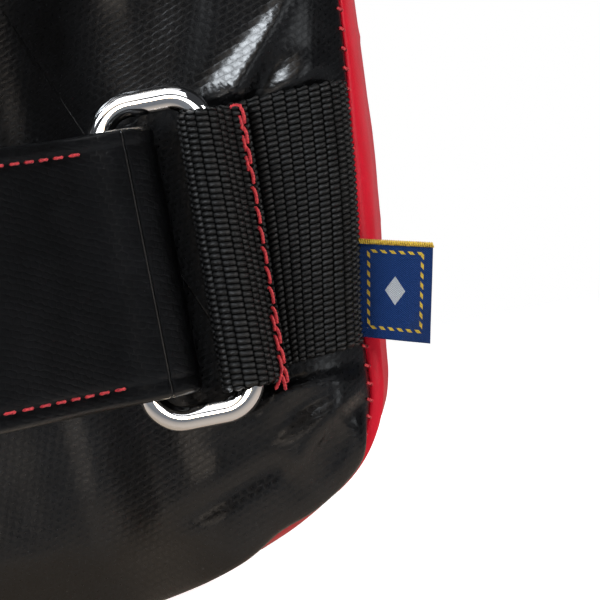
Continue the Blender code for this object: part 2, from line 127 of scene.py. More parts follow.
# ---------------------------------------------------------------- materials

class Value:
    """A number in a material's node tree, which takes plain arithmetic."""

    def __init__(self, look, socket):
        self.look, self.socket = look, socket

    def do(self, operation, other=0.0):
        return self.look.math(operation, self, other)

    def __rsub__(self, other):
        return self.look.math("SUBTRACT", other, self)

    __add__ = __radd__ = partialmethod(do, "ADD")
    __sub__ = partialmethod(do, "SUBTRACT")
    __mul__ = __rmul__ = partialmethod(do, "MULTIPLY")
    __truediv__ = partialmethod(do, "DIVIDE")
    __pow__ = partialmethod(do, "POWER")
    __abs__ = partialmethod(do, "ABSOLUTE")


class Look:
    """A material under construction."""

    def __init__(self, name, colour, roughness, metallic=0.0):
        self.material = bpy.data.materials.new(name)
        self.material.use_nodes = True
        self.tree = self.material.node_tree
        self.shader = self.tree.nodes["Principled BSDF"]
        self.set("Base Color", (*colour, 1.0))
        self.set("Roughness", roughness)
        self.set("Metallic", metallic)

    def feed(self, socket, value):
        """Joins a value or another node's output to a socket."""
        value = value.socket if isinstance(value, Value) else value
        if isinstance(value, bpy.types.NodeSocket):
            self.tree.links.new(value, socket)
        else:
            socket.default_value = value

    def set(self, name, value):
        self.feed(self.shader.inputs[name], value)

    def node(self, kind, **settings):
        made = self.tree.nodes.new("ShaderNode" + kind)
        for key, value in settings.items():
            setattr(made, key, value)
        return made

    def math(self, operation, a, b=0.0):
        made = self.node("Math", operation=operation)
        self.feed(made.inputs[0], a)
        self.feed(made.inputs[1], b)
        return Value(self, made.outputs[0])

    def uv(self):
        """The two sheet coordinates in millimetres."""
        split = self.node("SeparateXYZ")
        self.feed(split.inputs[0], self.node("UVMap", uv_map="sheet").outputs[0])
        return Value(self, split.outputs[0]), Value(self, split.outputs[1])

    def pair(self, u, v):
        """Two sheet coordinates as a place for a texture."""
        made = self.node("CombineXYZ")
        self.feed(made.inputs[0], u)
        self.feed(made.inputs[1], v)
        return made.outputs[0]

    def place(self):
        """Position in the frame, in metres."""
        return self.node("TexCoord").outputs["Object"]

    def noise(self, scale, detail=3.0, where=None):
        made = self.node("TexNoise")
        made.inputs["Scale"].default_value = scale
        made.inputs["Detail"].default_value = detail
        self.feed(made.inputs["Vector"], where or self.place())
        return Value(self, made.outputs["Fac"])

    def ramp(self, value, low, high, out_low=0.0, out_high=1.0):
        made = self.node("MapRange")
        for socket, number in zip(made.inputs, (value, low, high, out_low, out_high)):
            self.feed(socket, number)
        return Value(self, made.outputs[0])

    def mix(self, factor, a, b):
        made = self.node("Mix", data_type="RGBA")
        self.feed(made.inputs[0], factor)
        for socket, value in ((made.inputs[6], a), (made.inputs[7], b)):
            self.feed(socket, (*value, 1.0) if isinstance(value, tuple) else value)
        return made.outputs[2]

    def bump(self, height, distance_mm, strength=1.0):
        made = self.node("Bump")
        made.inputs["Strength"].default_value = strength
        made.inputs["Distance"].default_value = distance_mm * MM
        self.feed(made.inputs["Height"], height)
        self.set("Normal", made.outputs[0])

    def cells(self, u, v, along, across):
        """Staggered raised cells: 1 on a cell's middle and 0 in the gaps."""
        row = (v / across).do("FLOOR")
        fu = (u / along + row * 0.5).do("FRACT")
        fv = (v / across).do("FRACT")
        return (fu * (1.0 - fu) * (fv * (1.0 - fv)) * 16.0) ** 0.6


def grained_leather(name, colour, sheen_colour, along, across, roughness, depth, coat, gloss):
    """Coated canvas: raised cells under a glossy skin, with dust in the hollows."""
    look = Look(name, colour, roughness)
    u, v = look.uv()
    cos_turn, sin_turn = 0.94, 0.34         # the grain runs 20 degrees off the sheet
    turned_u = u * cos_turn + v * sin_turn
    turned_v = v * cos_turn - u * sin_turn
    jitter = (look.noise(700.0, 2.0) - 0.5) * 0.9
    cell = look.cells(turned_u + jitter, turned_v + jitter, along, across)
    strand = look.noise(1.3, 3.0, look.pair(turned_u * 0.9, turned_v * 4.5))
    worn = look.noise(160.0, 4.0)
    fine = look.noise(2600.0, 2.0)
    dust = look.ramp(look.noise(1500.0, 2.0), 0.76, 0.8)
    tone = look.mix(look.ramp(worn, 0.35, 0.7), colour, sheen_colour)
    look.set("Base Color", look.mix(dust * 0.25, tone, (0.3, 0.3, 0.3)))
    look.set("Roughness", look.ramp(cell, 0.0, 1.0, roughness + 0.14, roughness))
    look.set("Specular IOR Level", gloss)
    look.set("Coat Weight", coat)
    look.set("Coat Roughness", roughness * 0.8)
    look.bump(cell * look.ramp(worn, 0.3, 0.7, 0.7, 1.0) + (fine * 0.08 + strand * 0.22), depth)
    return look.material


def weave_height(u, v):
    """The height that weave_relief gives, for a material: 1 on a float and 0 in the gaps."""
    step = u / COLUMN
    column = step.do("FLOOR")
    fs = step.do("FRACT")
    lean = (fs - 0.5) * (COLUMN * math.tan(WEAVE_LEAN) / ROW)
    odd = column.do("FLOORED_MODULO", 2.0) * 0.5
    ft = (v / ROW + lean + odd).do("FRACT")
    return ((fs * math.pi).do("SINE") * (ft * math.pi).do("SINE")).do("MAXIMUM")


def webbing_look():
    """Nylon yarn on each float; the gaps between the floats carry painted shade, coloured near-black."""
    look = Look("black_webbing_yarn", (0.010, 0.010, 0.011), 0.42)
    u, v = look.uv()
    rise = weave_height(u, v)
    # float mask: 1 on the floats, 0 in the gaps, where the painted shade goes
    top = look.ramp(rise, 0.02, 0.34)
    streak = look.noise(1.6, 3.0, look.pair(u * 0.25, v * 6.0))
    yarn = look.mix(look.ramp(streak, 0.35, 0.75), (0.007, 0.007, 0.007), (0.02, 0.02, 0.02))
    # painted shade: near-black in the gaps between the floats, yarn colour on them
    look.set("Base Color", look.mix(top, (0.002, 0.002, 0.002), yarn))
    look.set("Specular IOR Level", top * 0.46)
    look.set("Roughness", look.ramp(streak, 0.3, 0.8, 0.5, 0.36))
    look.bump(rise ** 0.6 * 2.2 + streak, 0.12)
    return look.material


def chrome_look():
    look = Look("chrome_plate", (0.86, 0.86, 0.87), 0.05, 1.0)
    look.set("Roughness", look.ramp(look.noise(220.0, 4.0), 0.4, 0.75, 0.035, 0.13))
    look.bump(look.noise(900.0, 2.0), 0.006, 0.4)
    return look.material


def thread_look(name, bright, deep):
    look = Look(name, bright, 0.55)
    strand = look.noise(2200.0, 2.0)
    look.set("Base Color", look.mix(look.ramp(strand, 0.3, 0.7), bright, deep))
    look.set("Sheen Weight", 0.12)
    look.bump(strand, 0.08, 0.7)
    return look.material


def tag_look(half_width, half_height):
    """Blue twill with a border of short dashes and a small plain diamond."""
    look = Look("woven_tag", (0.018, 0.05, 0.25), 0.6)
    u, v = look.uv()
    off_u, off_v = abs(u - half_width), abs(v - half_height)
    edge = (half_width - off_u).do("MINIMUM", half_height - off_v)
    line = abs(edge - 1.9).do("LESS_THAN", 0.28)
    dash = line * ((u + v) / 1.7).do("FRACT").do("GREATER_THAN", 0.48)
    diamond = (off_u + off_v * 0.75).do("LESS_THAN", 1.9)
    twill = ((u + v * 1.6) / 0.55).do("FRACT")
    ridge = 1.0 - abs(twill - 0.5) * 2.0
    blue = look.mix(ridge, (0.002, 0.016, 0.085), (0.008, 0.045, 0.18))
    gold = look.mix(dash, blue, (0.62, 0.42, 0.05))
    look.set("Base Color", look.mix(diamond, gold, (0.42, 0.44, 0.47)))
    look.set("Specular IOR Level", 0.15)
    look.bump(ridge + dash.do("MAXIMUM", diamond) * 0.8, 0.09)
    return look.material


def tape_look():
    look = Look("hook_and_loop_pile", (0.008, 0.008, 0.009), 0.95)
    pile = look.noise(1700.0, 4.0)
    look.set("Base Color", look.mix(look.ramp(pile, 0.4, 0.7), (0.004, 0.004, 0.005), (0.03, 0.03, 0.032)))
    look.set("Sheen Weight", 0.6)
    look.bump(pile, 0.5)
    return look.material


def foam_look(name, colour):
    look = Look(name, colour, 0.95)
    cell = look.node("TexVoronoi")
    cell.inputs["Scale"].default_value = 900.0
    look.feed(cell.inputs["Vector"], look.place())
    look.set("Base Color", look.mix(cell.outputs["Distance"], tuple(c * 0.5 for c in colour), colour))
    look.bump(cell.outputs["Distance"], 0.4)
    return look.material


def board_look():
    """Pressed fibres that lie along the pad."""
    look = Look("pressed_board", (0.42, 0.31, 0.19), 0.8)
    stretched = look.node("Mapping")
    stretched.inputs["Scale"].default_value = (1.0, 1.0, 0.2)
    look.feed(stretched.inputs["Vector"], look.place())
    grain = look.noise(300.0, 5.0, stretched.outputs[0])
    look.set("Base Color", look.mix(grain, (0.3, 0.21, 0.12), (0.52, 0.4, 0.26)))
    look.bump(grain, 0.2)
    return look.material


def make_looks():
    return {
        "back": grained_leather("black_grained_leather", (0.0035, 0.0035, 0.004), (0.007, 0.007, 0.008),
                                1.8, 1.15, 0.27, 0.06, 0.35, 0.42),
        "strap": grained_leather("black_strap_leather", (0.004, 0.004, 0.0045), (0.008, 0.008, 0.009),
                                 1.8, 1.15, 0.28, 0.055, 0.25, 0.4),
        "red": grained_leather("red_side_leather", (0.60, 0.003, 0.018), (0.68, 0.006, 0.026),
                               0.8, 0.55, 0.38, 0.03, 0.02, 0.14),
        "webbing": webbing_look(),
        "chrome": chrome_look(),
        "red_thread": thread_look("red_thread", (0.78, 0.045, 0.045), (0.36, 0.0, 0.018)),
        "yellow_thread": thread_look("yellow_thread", (0.85, 0.58, 0.05), (0.5, 0.3, 0.02)),
        "tape": tape_look(),
        "dense_foam": foam_look("dense_foam_cells", (0.08, 0.08, 0.09)),
        "soft_foam": foam_look("soft_foam_cells", (0.82, 0.75, 0.42)),
        "board": board_look(),
    }


# ---------------------------------------------------------------- meshes

def grid_faces(rows, cols, wrap):
    r = np.arange(rows - 1)[:, None]
    c = np.arange(cols if wrap else cols - 1)[None, :]
    d = (c + 1) % cols
    return np.stack(np.broadcast_arrays(r * cols + c, r * cols + d, (r + 1) * cols + d,
                                        (r + 1) * cols + c), -1).reshape(-1, 4)


def corner_uvs(uv, rows, cols, wrap):
    r = np.arange(rows - 1)[:, None]
    c = np.arange(cols if wrap else cols - 1)[None, :]
    picks = [uv[r, c], uv[r, c + 1], uv[r + 1, c + 1], uv[r + 1, c]]
    return np.stack(picks, 2).reshape(-1, 2)


def to_world(points):
    points = np.asarray(points, float).reshape(-1, 3)
    return np.stack([points[:, 0], -points[:, 1], points[:, 2]], 1) * MM


def put(name, data):
    """A new object in the scene."""
    made = bpy.data.objects.new(name, data)
    bpy.context.scene.collection.objects.link(made)
    return made


def make_object(name, verts, faces, material, uvs=None):
    mesh = bpy.data.meshes.new(name)
    mesh.from_pydata(to_world(verts).tolist(), [], [tuple(f) for f in faces])
    if uvs is not None:
        layer = mesh.uv_layers.new(name="sheet")
        layer.data.foreach_set("uv", np.asarray(uvs, np.float32).ravel())
    mesh.materials.append(material)
    mesh.shade_smooth()
    return put(name, mesh)


def attach(piece, slot, body, *replaced):
    """Hides the CAD nodes that a piece stands for and puts the piece on the body that carries it; slot is not
    used.
    """
    if replaced:
        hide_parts(*replaced)
    if body:
        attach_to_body(piece, body)


def turn_out(piece, outward):
    """Flips the faces if most of them look against outward(centre), a direction in the world."""
    score = sum(f.normal.dot(outward(f.center)) * f.area for f in piece.data.polygons)
    if score < 0:
        piece.data.flip_normals()
    return piece


def sheet(name, grid, uv, material, wrap=False):
    rows, cols = grid.shape[:2]
    return make_object(name, grid, grid_faces(rows, cols, wrap), material,
                       corner_uvs(uv, rows, cols, wrap))


def recalc(piece):
    work = bmesh.new()
    work.from_mesh(piece.data)
    bmesh.ops.recalc_face_normals(work, faces=work.faces)
    work.to_mesh(piece.data)
    work.free()
    return piece


def bezier(a, b, c, d, steps):
    t = np.linspace(0.0, 1.0, steps + 1)[:, None]
    a, b, c, d = (np.asarray(p, float) for p in (a, b, c, d))
    return (1 - t) ** 3 * a + 3 * (1 - t) ** 2 * t * b + 3 * (1 - t) * t ** 2 * c + t ** 3 * d


def arc(centre, radius, start, end, steps):
    angle = np.radians(np.linspace(start, end, steps + 1))
    return np.asarray(centre) + radius * np.stack([np.cos(angle), np.sin(angle)], 1)


def joined(*parts):
    line = [parts[0]]
    for part in parts[1:]:
        line.append(part[1:] if np.allclose(part[0], line[-1][-1]) else part)
    return np.concatenate(line)


def closed(line):
    """The line with its first point again at its end."""
    return np.concatenate([line, line[:1]])


def around(count):
    """Angles spread evenly over one turn."""
    return np.linspace(0, 2 * math.pi, count, endpoint=False)


def lengths(path):
    steps = np.linalg.norm(np.diff(path, axis=0), axis=1)
    return np.concatenate([[0.0], np.cumsum(steps)])


def read(line, run, at):
    """A line's points at some lengths along it; run holds the length at each of its own points."""
    return np.stack([np.interp(at, run, line[:, k]) for k in range(line.shape[1])], 1)


def even(path, step):
    """The same line with points about step apart."""
    run = lengths(path)
    count = max(int(round(run[-1] / step)), 2)
    return read(path, run, np.linspace(0.0, run[-1], count + 1))


def normals_of(path):
    along = np.gradient(path, axis=-2)
    normal = np.stack([-along[..., 1], along[..., 0]], -1)
    return normal / np.linalg.norm(normal, axis=-1, keepdims=True)


def wobble(points, scale, seed=0.0):
    """Smooth noise between -1 and 1 at points in millimetres."""
    flat = np.asarray(points, float).reshape(-1, 3) / scale
    values = [noise.noise((p[0] + seed, p[1], p[2])) for p in flat]
    return np.array(values).reshape(np.asarray(points).shape[:-1])


# ---------------------------------------------------------------- outline

END_CENTRE = np.array([0.0, END_RADIUS - END_CROWN])
SIDE_CENTRE = np.array([HALF_WIDTH - SIDE_RADIUS, LENGTH / 2])


def corner_centre():
    to_side = SIDE_RADIUS - CORNER_RADIUS
    to_end = END_RADIUS - CORNER_RADIUS
    between = END_CENTRE - SIDE_CENTRE
    distance = np.linalg.norm(between)
    along = (to_side ** 2 - to_end ** 2 + distance ** 2) / (2 * distance)
    away = math.sqrt(to_side ** 2 - along ** 2)
    unit = between / distance
    return SIDE_CENTRE + unit * along + np.array([unit[1], -unit[0]]) * away * math.copysign(1, unit[0])


CORNER_CENTRE = corner_centre()
SIDE_TOUCH = CORNER_CENTRE - SIDE_CENTRE
SIDE_TOUCH_Z = (SIDE_CENTRE + SIDE_TOUCH / np.linalg.norm(SIDE_TOUCH) * SIDE_RADIUS)[1]
END_STEPS, CORNER_STEPS, SIDE_STEPS = 56, 24, 150


def outline(inset):
    """The outline at a distance inside the widest one; inset may be one number or one per point."""
    end_touch = CORNER_CENTRE - END_CENTRE
    angle_end = math.atan2(end_touch[1], end_touch[0])
    angle_side = math.atan2(SIDE_TOUCH[1], SIDE_TOUCH[0])
    places = []
    for centre, radius, first, last, steps in (
            (END_CENTRE, END_RADIUS, -math.pi / 2, angle_end, END_STEPS),
            (CORNER_CENTRE, CORNER_RADIUS, angle_end, angle_side, CORNER_STEPS),
            (SIDE_CENTRE, SIDE_RADIUS, angle_side, 0.0, SIDE_STEPS)):
        places += [(*centre, radius, first + (last - first) * i / steps) for i in range(steps)]
    places = np.array([*places, (*SIDE_CENTRE, SIDE_RADIUS, 0.0)])
    centres, radii, angles = places[:, :2], places[:, 2].copy(), places[:, 3].copy()
    facing = np.stack([np.cos(angles), np.sin(angles)], 1)
    count = len(angles)
    whole = 4 * (count - 1)
    inset = np.broadcast_to(inset, (whole,))
    index = np.arange(whole)
    quarter = index // (count - 1)
    local = np.where(quarter % 2 == 0, index % (count - 1), (count - 1) - index % (count - 1))
    point = centres[local] + facing[local] * (radii[local] - inset)[:, None]
    point[:, 1] = np.maximum(point[:, 1], inset)
    upper = (quarter == 1) | (quarter == 2)
    left = quarter >= 2
    point[:, 1] = np.where(upper, LENGTH - point[:, 1], point[:, 1])
    point[:, 0] = np.where(left, -point[:, 0], point[:, 0])
    return point


def half_width_at(z):
    z = np.asarray(z, float)
    low = np.minimum(z, LENGTH - z)
    side = SIDE_CENTRE[0] + np.sqrt(SIDE_RADIUS ** 2 - (low - SIDE_CENTRE[1]) ** 2)
    reach = np.clip(CORNER_RADIUS ** 2 - (low - CORNER_CENTRE[1]) ** 2, 0.0, None)
    return np.where(low > SIDE_TOUCH_Z, side, CORNER_CENTRE[0] + np.sqrt(reach))


def smooth(value):
    value = np.clip(value, 0.0, 1.0)
    return value * value * (3 - 2 * value)


def seam_up(x):
    blend = smooth((np.abs(x) - CHANNEL_HALF_WIDTH) / (BOLSTER_INNER - CHANNEL_HALF_WIDTH))
    return CHANNEL_SEAM_UP + (SEAM_UP - CHANNEL_SEAM_UP) * blend


def bell(distance, width):
    return np.exp(-(distance / width) ** 2)


def drawn_in(z):
    """How far the covers' tension draws the sides in above each corner."""
    return 2.0 * bell(np.minimum(z, LENGTH - z) - 38.0, 24.0)


def on_side(x):
    """1 along the pad's sides and 0 over its ends."""
    return smooth((np.abs(x) - 66.0) / 14.0)


def seam_inset(points):
    """How far the seam lies inside the outline; each strap's pull draws it in."""
    pull = sum(bell(points[:, 1] - z, 27.0) for z in STRAPS.values())
    return EDGE_INSET + (1.5 * pull + drawn_in(points[:, 1])) * on_side(points[:, 0])


def lip(points):
    """1 round the ends, where the back cover is stuffed out over the seam."""
    low = smooth((31.0 - np.minimum(points[:, 1], LENGTH - points[:, 1])) / 10.0)
    return low * (1.0 - 0.35 * bell(np.abs(points[:, 0]) - 67.0, 5.0))


# ---------------------------------------------------------------- covers

# Folds beside a strap's sewn end: distance in from the side and height from the strap's middle,
# at both ends of the fold, then its width and height
FOLDS = [
    ((20.5, 23.0), (15.0, 31.0), 1.5, -0.7),
    ((36.0, 27.0), (28.0, 46.0), 4.0, 0.8),
    ((14.5, -42.0), (5.6, -31.0), 1.1, -1.8),
    ((10.5, -36.0), (30.0, -46.0), 2.4, -1.2),
    ((34.0, -30.0), (20.0, -31.0), 3.0, 0.9),
]


# Ridges with straight flanks: the same two ends, then the width of the flank that looks
# away from the seam, the width of the other, the height, and how much the ridge narrows
RIDGES = [
    ((26.7, 22.0), (13.4, 38.4), 6.6, 3.4, 3.9, 0.62),
    ((17.4, 21.0), (8.4, 29.6), 3.8, 3.4, 1.4, 0.0),
    ((21.0, -27.2), (6.5, -22.8), 2.6, 3.8, 1.9, -0.2),
    ((14.0, -39.5), (6.6, -29.2), 6.0, 1.7, 3.2, 0.1),
]


def beside_fold(x, z, middle, side, first, second):
    """Fraction of the way along a fold and distance from it, positive towards the seam."""
    (in_a, dz_a), (in_b, dz_b) = first, second
    za, zb = middle + dz_a, middle + dz_b
    ax, bx = side * (half_width_at(za) - in_a), side * (half_width_at(zb) - in_b)
    run_x, run_z = bx - ax, zb - za
    size = math.hypot(run_x, run_z)
    t = ((x - ax) * run_x + (z - za) * run_z) / size ** 2
    return t, side * ((x - ax) * run_z - (z - za) * run_x) / size


def ridge(off, rise, fall):
    """A section with straight flanks, a rounded crest and soft feet."""
    foot = 0.06
    steep = np.maximum(-off / rise, off / fall)
    tent = 1.122 - np.sqrt(steep ** 2 + 0.015)      # 1 on the crest and 0 at the feet
    return foot * np.logaddexp(0.0, tent / foot)


def folds_at(x, z):
    """Height added by the folds that the sewn straps pull into the back cover."""
    total = np.zeros_like(x)
    for middle in STRAPS.values():
        for side in (-1, 1):
            reach = 1.0 if side > 0 else 0.75       # the left ends are pulled less
            for first, second, width, height in FOLDS:
                t, off = beside_fold(x, z, middle, side, first, second)
                inside = smooth((t + 0.25) / 0.4) * smooth((1.25 - t) / 0.4)
                total += reach * height * inside * bell(off, width)
            for first, second, rise, fall, height, narrowing in RIDGES:
                t, off = beside_fold(x, z, middle, side, first, second)
                inside = smooth((t + 0.35) / 0.3) * smooth((1.4 - t) / 0.5)
                size = 1.0 - narrowing * np.clip(t, 0.0, 1.0)
                total += reach * height * size * inside * ridge(off, rise * size, fall * size)
    return total


def strap_zone(x, z, half, half_fade, inner, inner_fade):
    """1 on the straps' sewn ends, 0 beyond half from a strap's middle and 0 nearer in than inner."""
    total = np.zeros_like(x)
    for middle in STRAPS.values():
        total = np.maximum(total, smooth((half - np.abs(z - middle)) / half_fade))
    return total * smooth((np.abs(x) - inner) / inner_fade)


def puffed(x, inset):
    """Height of the back cover's padding, at an inset from its seam."""
    reach = np.clip(inset / PUFF_REACH, 0.0, 1.0)
    return seam_up(x) + PUFF_HEIGHT * np.sqrt(1 - (1 - reach) ** 2)


def from_rim(grid):
    """0 on a cover's first three rows, then up to 1 over six more."""
    return np.clip(np.arange(len(grid)) - 2, 0, 6)[:, None] / 6.0


BACK_INSETS = (0.35, 0.9, 1.6, 2.4, 3.3, 4.3, *np.arange(5.4, 20.5, 1.15))
BACK_SCALES = 60
LIP_REACH, LIP_WIDTH = 3.9, 5.4


def level_ring(line, up):
    """Points of X, up, Z from a line of X and Z at a height, or at one height for each point."""
    return np.stack([line[:, 0], np.broadcast_to(up, len(line)), line[:, 1]], 1)


def shrinking(line, count):
    """Copies of a line that close in on the pad's middle."""
    centre = np.array([0.0, LENGTH / 2])
    return [centre + (line - centre) * (1.0 - i / count * 0.985) for i in range(1, count + 1)]


def back_grid():
    """Rows of the back cover from its rim to its middle, and its flat coordinates."""
    edge = outline(0.0)
    seam = seam_inset(edge)
    rows = [level_ring(outline(seam), seam_up(edge[:, 0]) - 0.9)]
    overhang = lip(edge)
    for inset in (0.0,) + BACK_INSETS:
        roll = math.sin(math.pi * min(inset / LIP_WIDTH, 1.0)) ** 0.7
        ring = outline(seam + inset - LIP_REACH * overhang * roll)
        rows.append(level_ring(ring, puffed(ring[:, 0], inset)))
    for ring in shrinking(rows[-1][:, [0, 2]], BACK_SCALES):
        rows.append(level_ring(ring, seam_up(ring[:, 0]) + PUFF_HEIGHT))
    return np.array(rows)


def shape_back(grid):
    """Adds the folds, the press of the straps and soft unevenness."""
    x, up, z = grid[..., 0], grid[..., 1], grid[..., 2]
    pressed = strap_zone(x, z, WEBBING_HALF + 2.0, 2.2, 52.0, 6.0)
    soft = wobble(np.stack([x, up * 0, z * 0.7], -1), 26.0) * 0.55
    small = wobble(np.stack([x * 1.3, up * 0, z], -1), 9.0, 31.0) * 0.16
    raise_up = (folds_at(x, z) + soft + small) * (1.0 - pressed) - 0.25 * pressed
    grid[..., 1] = up + raise_up * from_rim(grid)
    return grid


def settle(grid, wrap, pinned_rows, pressure, cap):
    """Cloth simulation of a coarse copy of a grid; returns how far each point of the grid moves."""
    rows, cols = grid.shape[:2]
    keep_r = np.unique(np.append(np.arange(0, rows, 3), rows - 1))
    keep_c = np.arange(0, cols, 6)
    coarse = grid[np.ix_(keep_r, keep_c)]
    count = len(keep_r)
    material = bpy.data.materials.new("settling")
    piece = make_object("settling", coarse, grid_faces(count, len(keep_c), wrap), material)
    centre = Vector((0.0, 0.0, LENGTH / 2 * MM))
    turn_out(piece, lambda c: c - centre)
    pins = piece.vertex_groups.new(name="pins")
    held = [r for r in range(count) if keep_r[r] in pinned_rows]
    pins.add([r * len(keep_c) + c for r in held for c in range(len(keep_c))], 1.0, "REPLACE")
    cloth = piece.modifiers.new("cloth", "CLOTH")
    cloth.settings.vertex_group_mass = "pins"
    cloth.settings.use_pressure = True
    cloth.settings.uniform_pressure_force = pressure
    cloth.settings.effector_weights.gravity = 0.0
    cloth.settings.shrink_min = -0.006
    cloth.settings.tension_stiffness = 25.0
    cloth.settings.bending_stiffness = 0.4
    cloth.point_cache.frame_start, cloth.point_cache.frame_end = 1, 20
    for step in range(1, 21):
        bpy.context.scene.frame_set(step)
    shown = piece.evaluated_get(bpy.context.evaluated_depsgraph_get())
    moved = np.array([v.co for v in shown.data.vertices]) / MM
    moved = np.stack([moved[:, 0], -moved[:, 1], moved[:, 2]], 1).reshape(coarse.shape)
    bpy.data.objects.remove(piece, do_unlink=True)
    bpy.context.scene.frame_set(1)
    shift = moved - coarse
    size = np.linalg.norm(shift, axis=-1, keepdims=True)
    shift *= np.minimum(1.0, cap / np.maximum(size, 1e-9))
    # spread over the rows between the coarse ones, then over the columns round the ring
    by_row = read(shift.reshape(count, -1), keep_r, np.arange(rows)).reshape(rows, -1, 3)
    by_column = closed(by_row.transpose(1, 0, 2)).reshape(len(keep_c) + 1, -1)
    spread = read(by_column, np.append(keep_c, cols), np.arange(cols))
    return np.ascontiguousarray(spread.reshape(cols, rows, 3).transpose(1, 0, 2))


def seen_flat(grid):
    """A cover's points with its first column repeated, and its sheet coordinates seen square on."""
    flat = np.concatenate([grid, grid[:, :1]], 1)
    return flat, np.stack([flat[..., 0], flat[..., 2]], -1)


def closed_cover(name, grid, uv, material, outward):
    """A cover from rows of points, from its rim to its middle, which one last face closes."""
    rows, cols = grid.shape[:2]
    faces = grid_faces(rows, cols, True).tolist()
    faces.append([(rows - 1) * cols + c for c in range(cols)])
    corners = np.concatenate([corner_uvs(uv, rows, cols, True), uv[-1, :-1]])
    return turn_out(make_object(name, grid, faces, material, corners), lambda c: Vector(outward))


def back_cover(looks):
    grid = back_grid()
    # round the straps' sewn ends the folds are shaped one by one, not by the simulation
    free = 1.0 - strap_zone(grid[..., 0], grid[..., 2], 58.0, 14.0, 44.0, 12.0)
    grid = grid + settle(grid, True, range(4), 3.0, 1.6) * free[..., None]
    grid = shape_back(grid)
    flat, uv = seen_flat(grid)
    uv[..., 0] += np.where(np.abs(flat[..., 0]) > 70, np.sign(flat[..., 0]) * (60 - flat[..., 1]) * 0.6, 0)
    piece = closed_cover("back_leather", grid, uv, looks["back"], (0.0, -1.0, 0.0))
    attach(piece, "black_leather", "pad", "back_cover")


GUSSET_ROWS = 46
GUSSET_SLACK = 0.8       # the band is made this much small and swells part of it
STRIKE_SEAM_INSET = 2.4
STRIKE_SEAM_RISE = 5.6   # from the struck face up to its seam


def gusset_profile():
    """Fractions of the way from the strike seam to the back seam, denser at both."""
    t = np.linspace(0.0, 1.0, GUSSET_ROWS)
    return 0.5 - 0.5 * np.cos(math.pi * t)


def side_gusset(looks):
    """The red band, rolled over at both seams."""
    edge = outline(0.0)
    top_inset = seam_inset(edge)
    low = STRIKE_UP + STRIKE_SEAM_RISE
    top = seam_up(edge[:, 0]) + 0.2
    rows = [level_ring(outline(STRIKE_SEAM_INSET + 1.0), low + 0.4)]
    for t in gusset_profile():
        roll_low = np.clip(1 - t / 0.07, 0, 1)
        roll_top = np.clip(1 - (1 - t) / 0.1, 0, 1)
        inset = (STRIKE_SEAM_INSET * (1 - np.sqrt(1 - roll_low ** 2))
                 + top_inset * (1 - np.sqrt(1 - roll_top ** 2)))
        drawn = drawn_in(edge[:, 1]) * on_side(edge[:, 0])
        inset = np.maximum(inset, drawn) + GUSSET_SLACK * math.sin(math.pi * t) ** 0.5
        ring = outline(inset)
        rows.append(level_ring(ring, low + (top - low) * t))
    rows.append(level_ring(outline(top_inset + 1.3), top - 1.2))
    grid = np.array(rows)
    held = tuple(range(0, 6)) + tuple(range(len(grid) - 10, len(grid)))
    grid = grid + settle(grid, True, held, 1.5, 0.5 * GUSSET_SLACK)
    run, height = lengths(closed(edge)), lengths(grid[:, 0])
    uv = np.stack(np.broadcast_arrays(run[None, :], height[:, None]), -1)
    piece = sheet("red_side_band", grid, uv, looks["red"], wrap=True)
    centre = Vector((0.0, 0.0, LENGTH / 2 * MM))
    turn_out(piece, lambda c: (c - centre) * Vector((1, 0, 1)))
    attach(piece, "red_leather", "pad", "side_gusset")


def strike_cover(looks):
    """The struck face, padded, with its rim tucked into the strike seam."""
    # inset and height over the struck face, from the rim inwards
    profile = [(3.2, 5.4), (2.4, 5.2), (2.5, 4.4), (3.0, 3.7), (4.0, 2.9), (5.4, 2.1), (7.2, 1.4), (9.5, 0.8),
               (12.5, 0.35), (16.0, 0.1), (20.0, 0.0)]
    rows = [level_ring(outline(inset), STRIKE_UP + up) for inset, up in profile]
    rows += [level_ring(ring, STRIKE_UP) for ring in shrinking(rows[-1][:, [0, 2]], 24)]
    grid = np.array(rows)
    dents = wobble(grid, 34.0, 7.0) * 0.45 + wobble(grid, 13.0, 3.0) * 0.15
    grid[..., 1] += np.abs(dents) * from_rim(grid)
    piece = closed_cover("strike_leather", grid, seen_flat(grid)[1], looks["red"], (0.0, 1.0, 0.0))
    attach(piece, "red_leather", "pad", "strike_cover")


# ---------------------------------------------------------------- bands

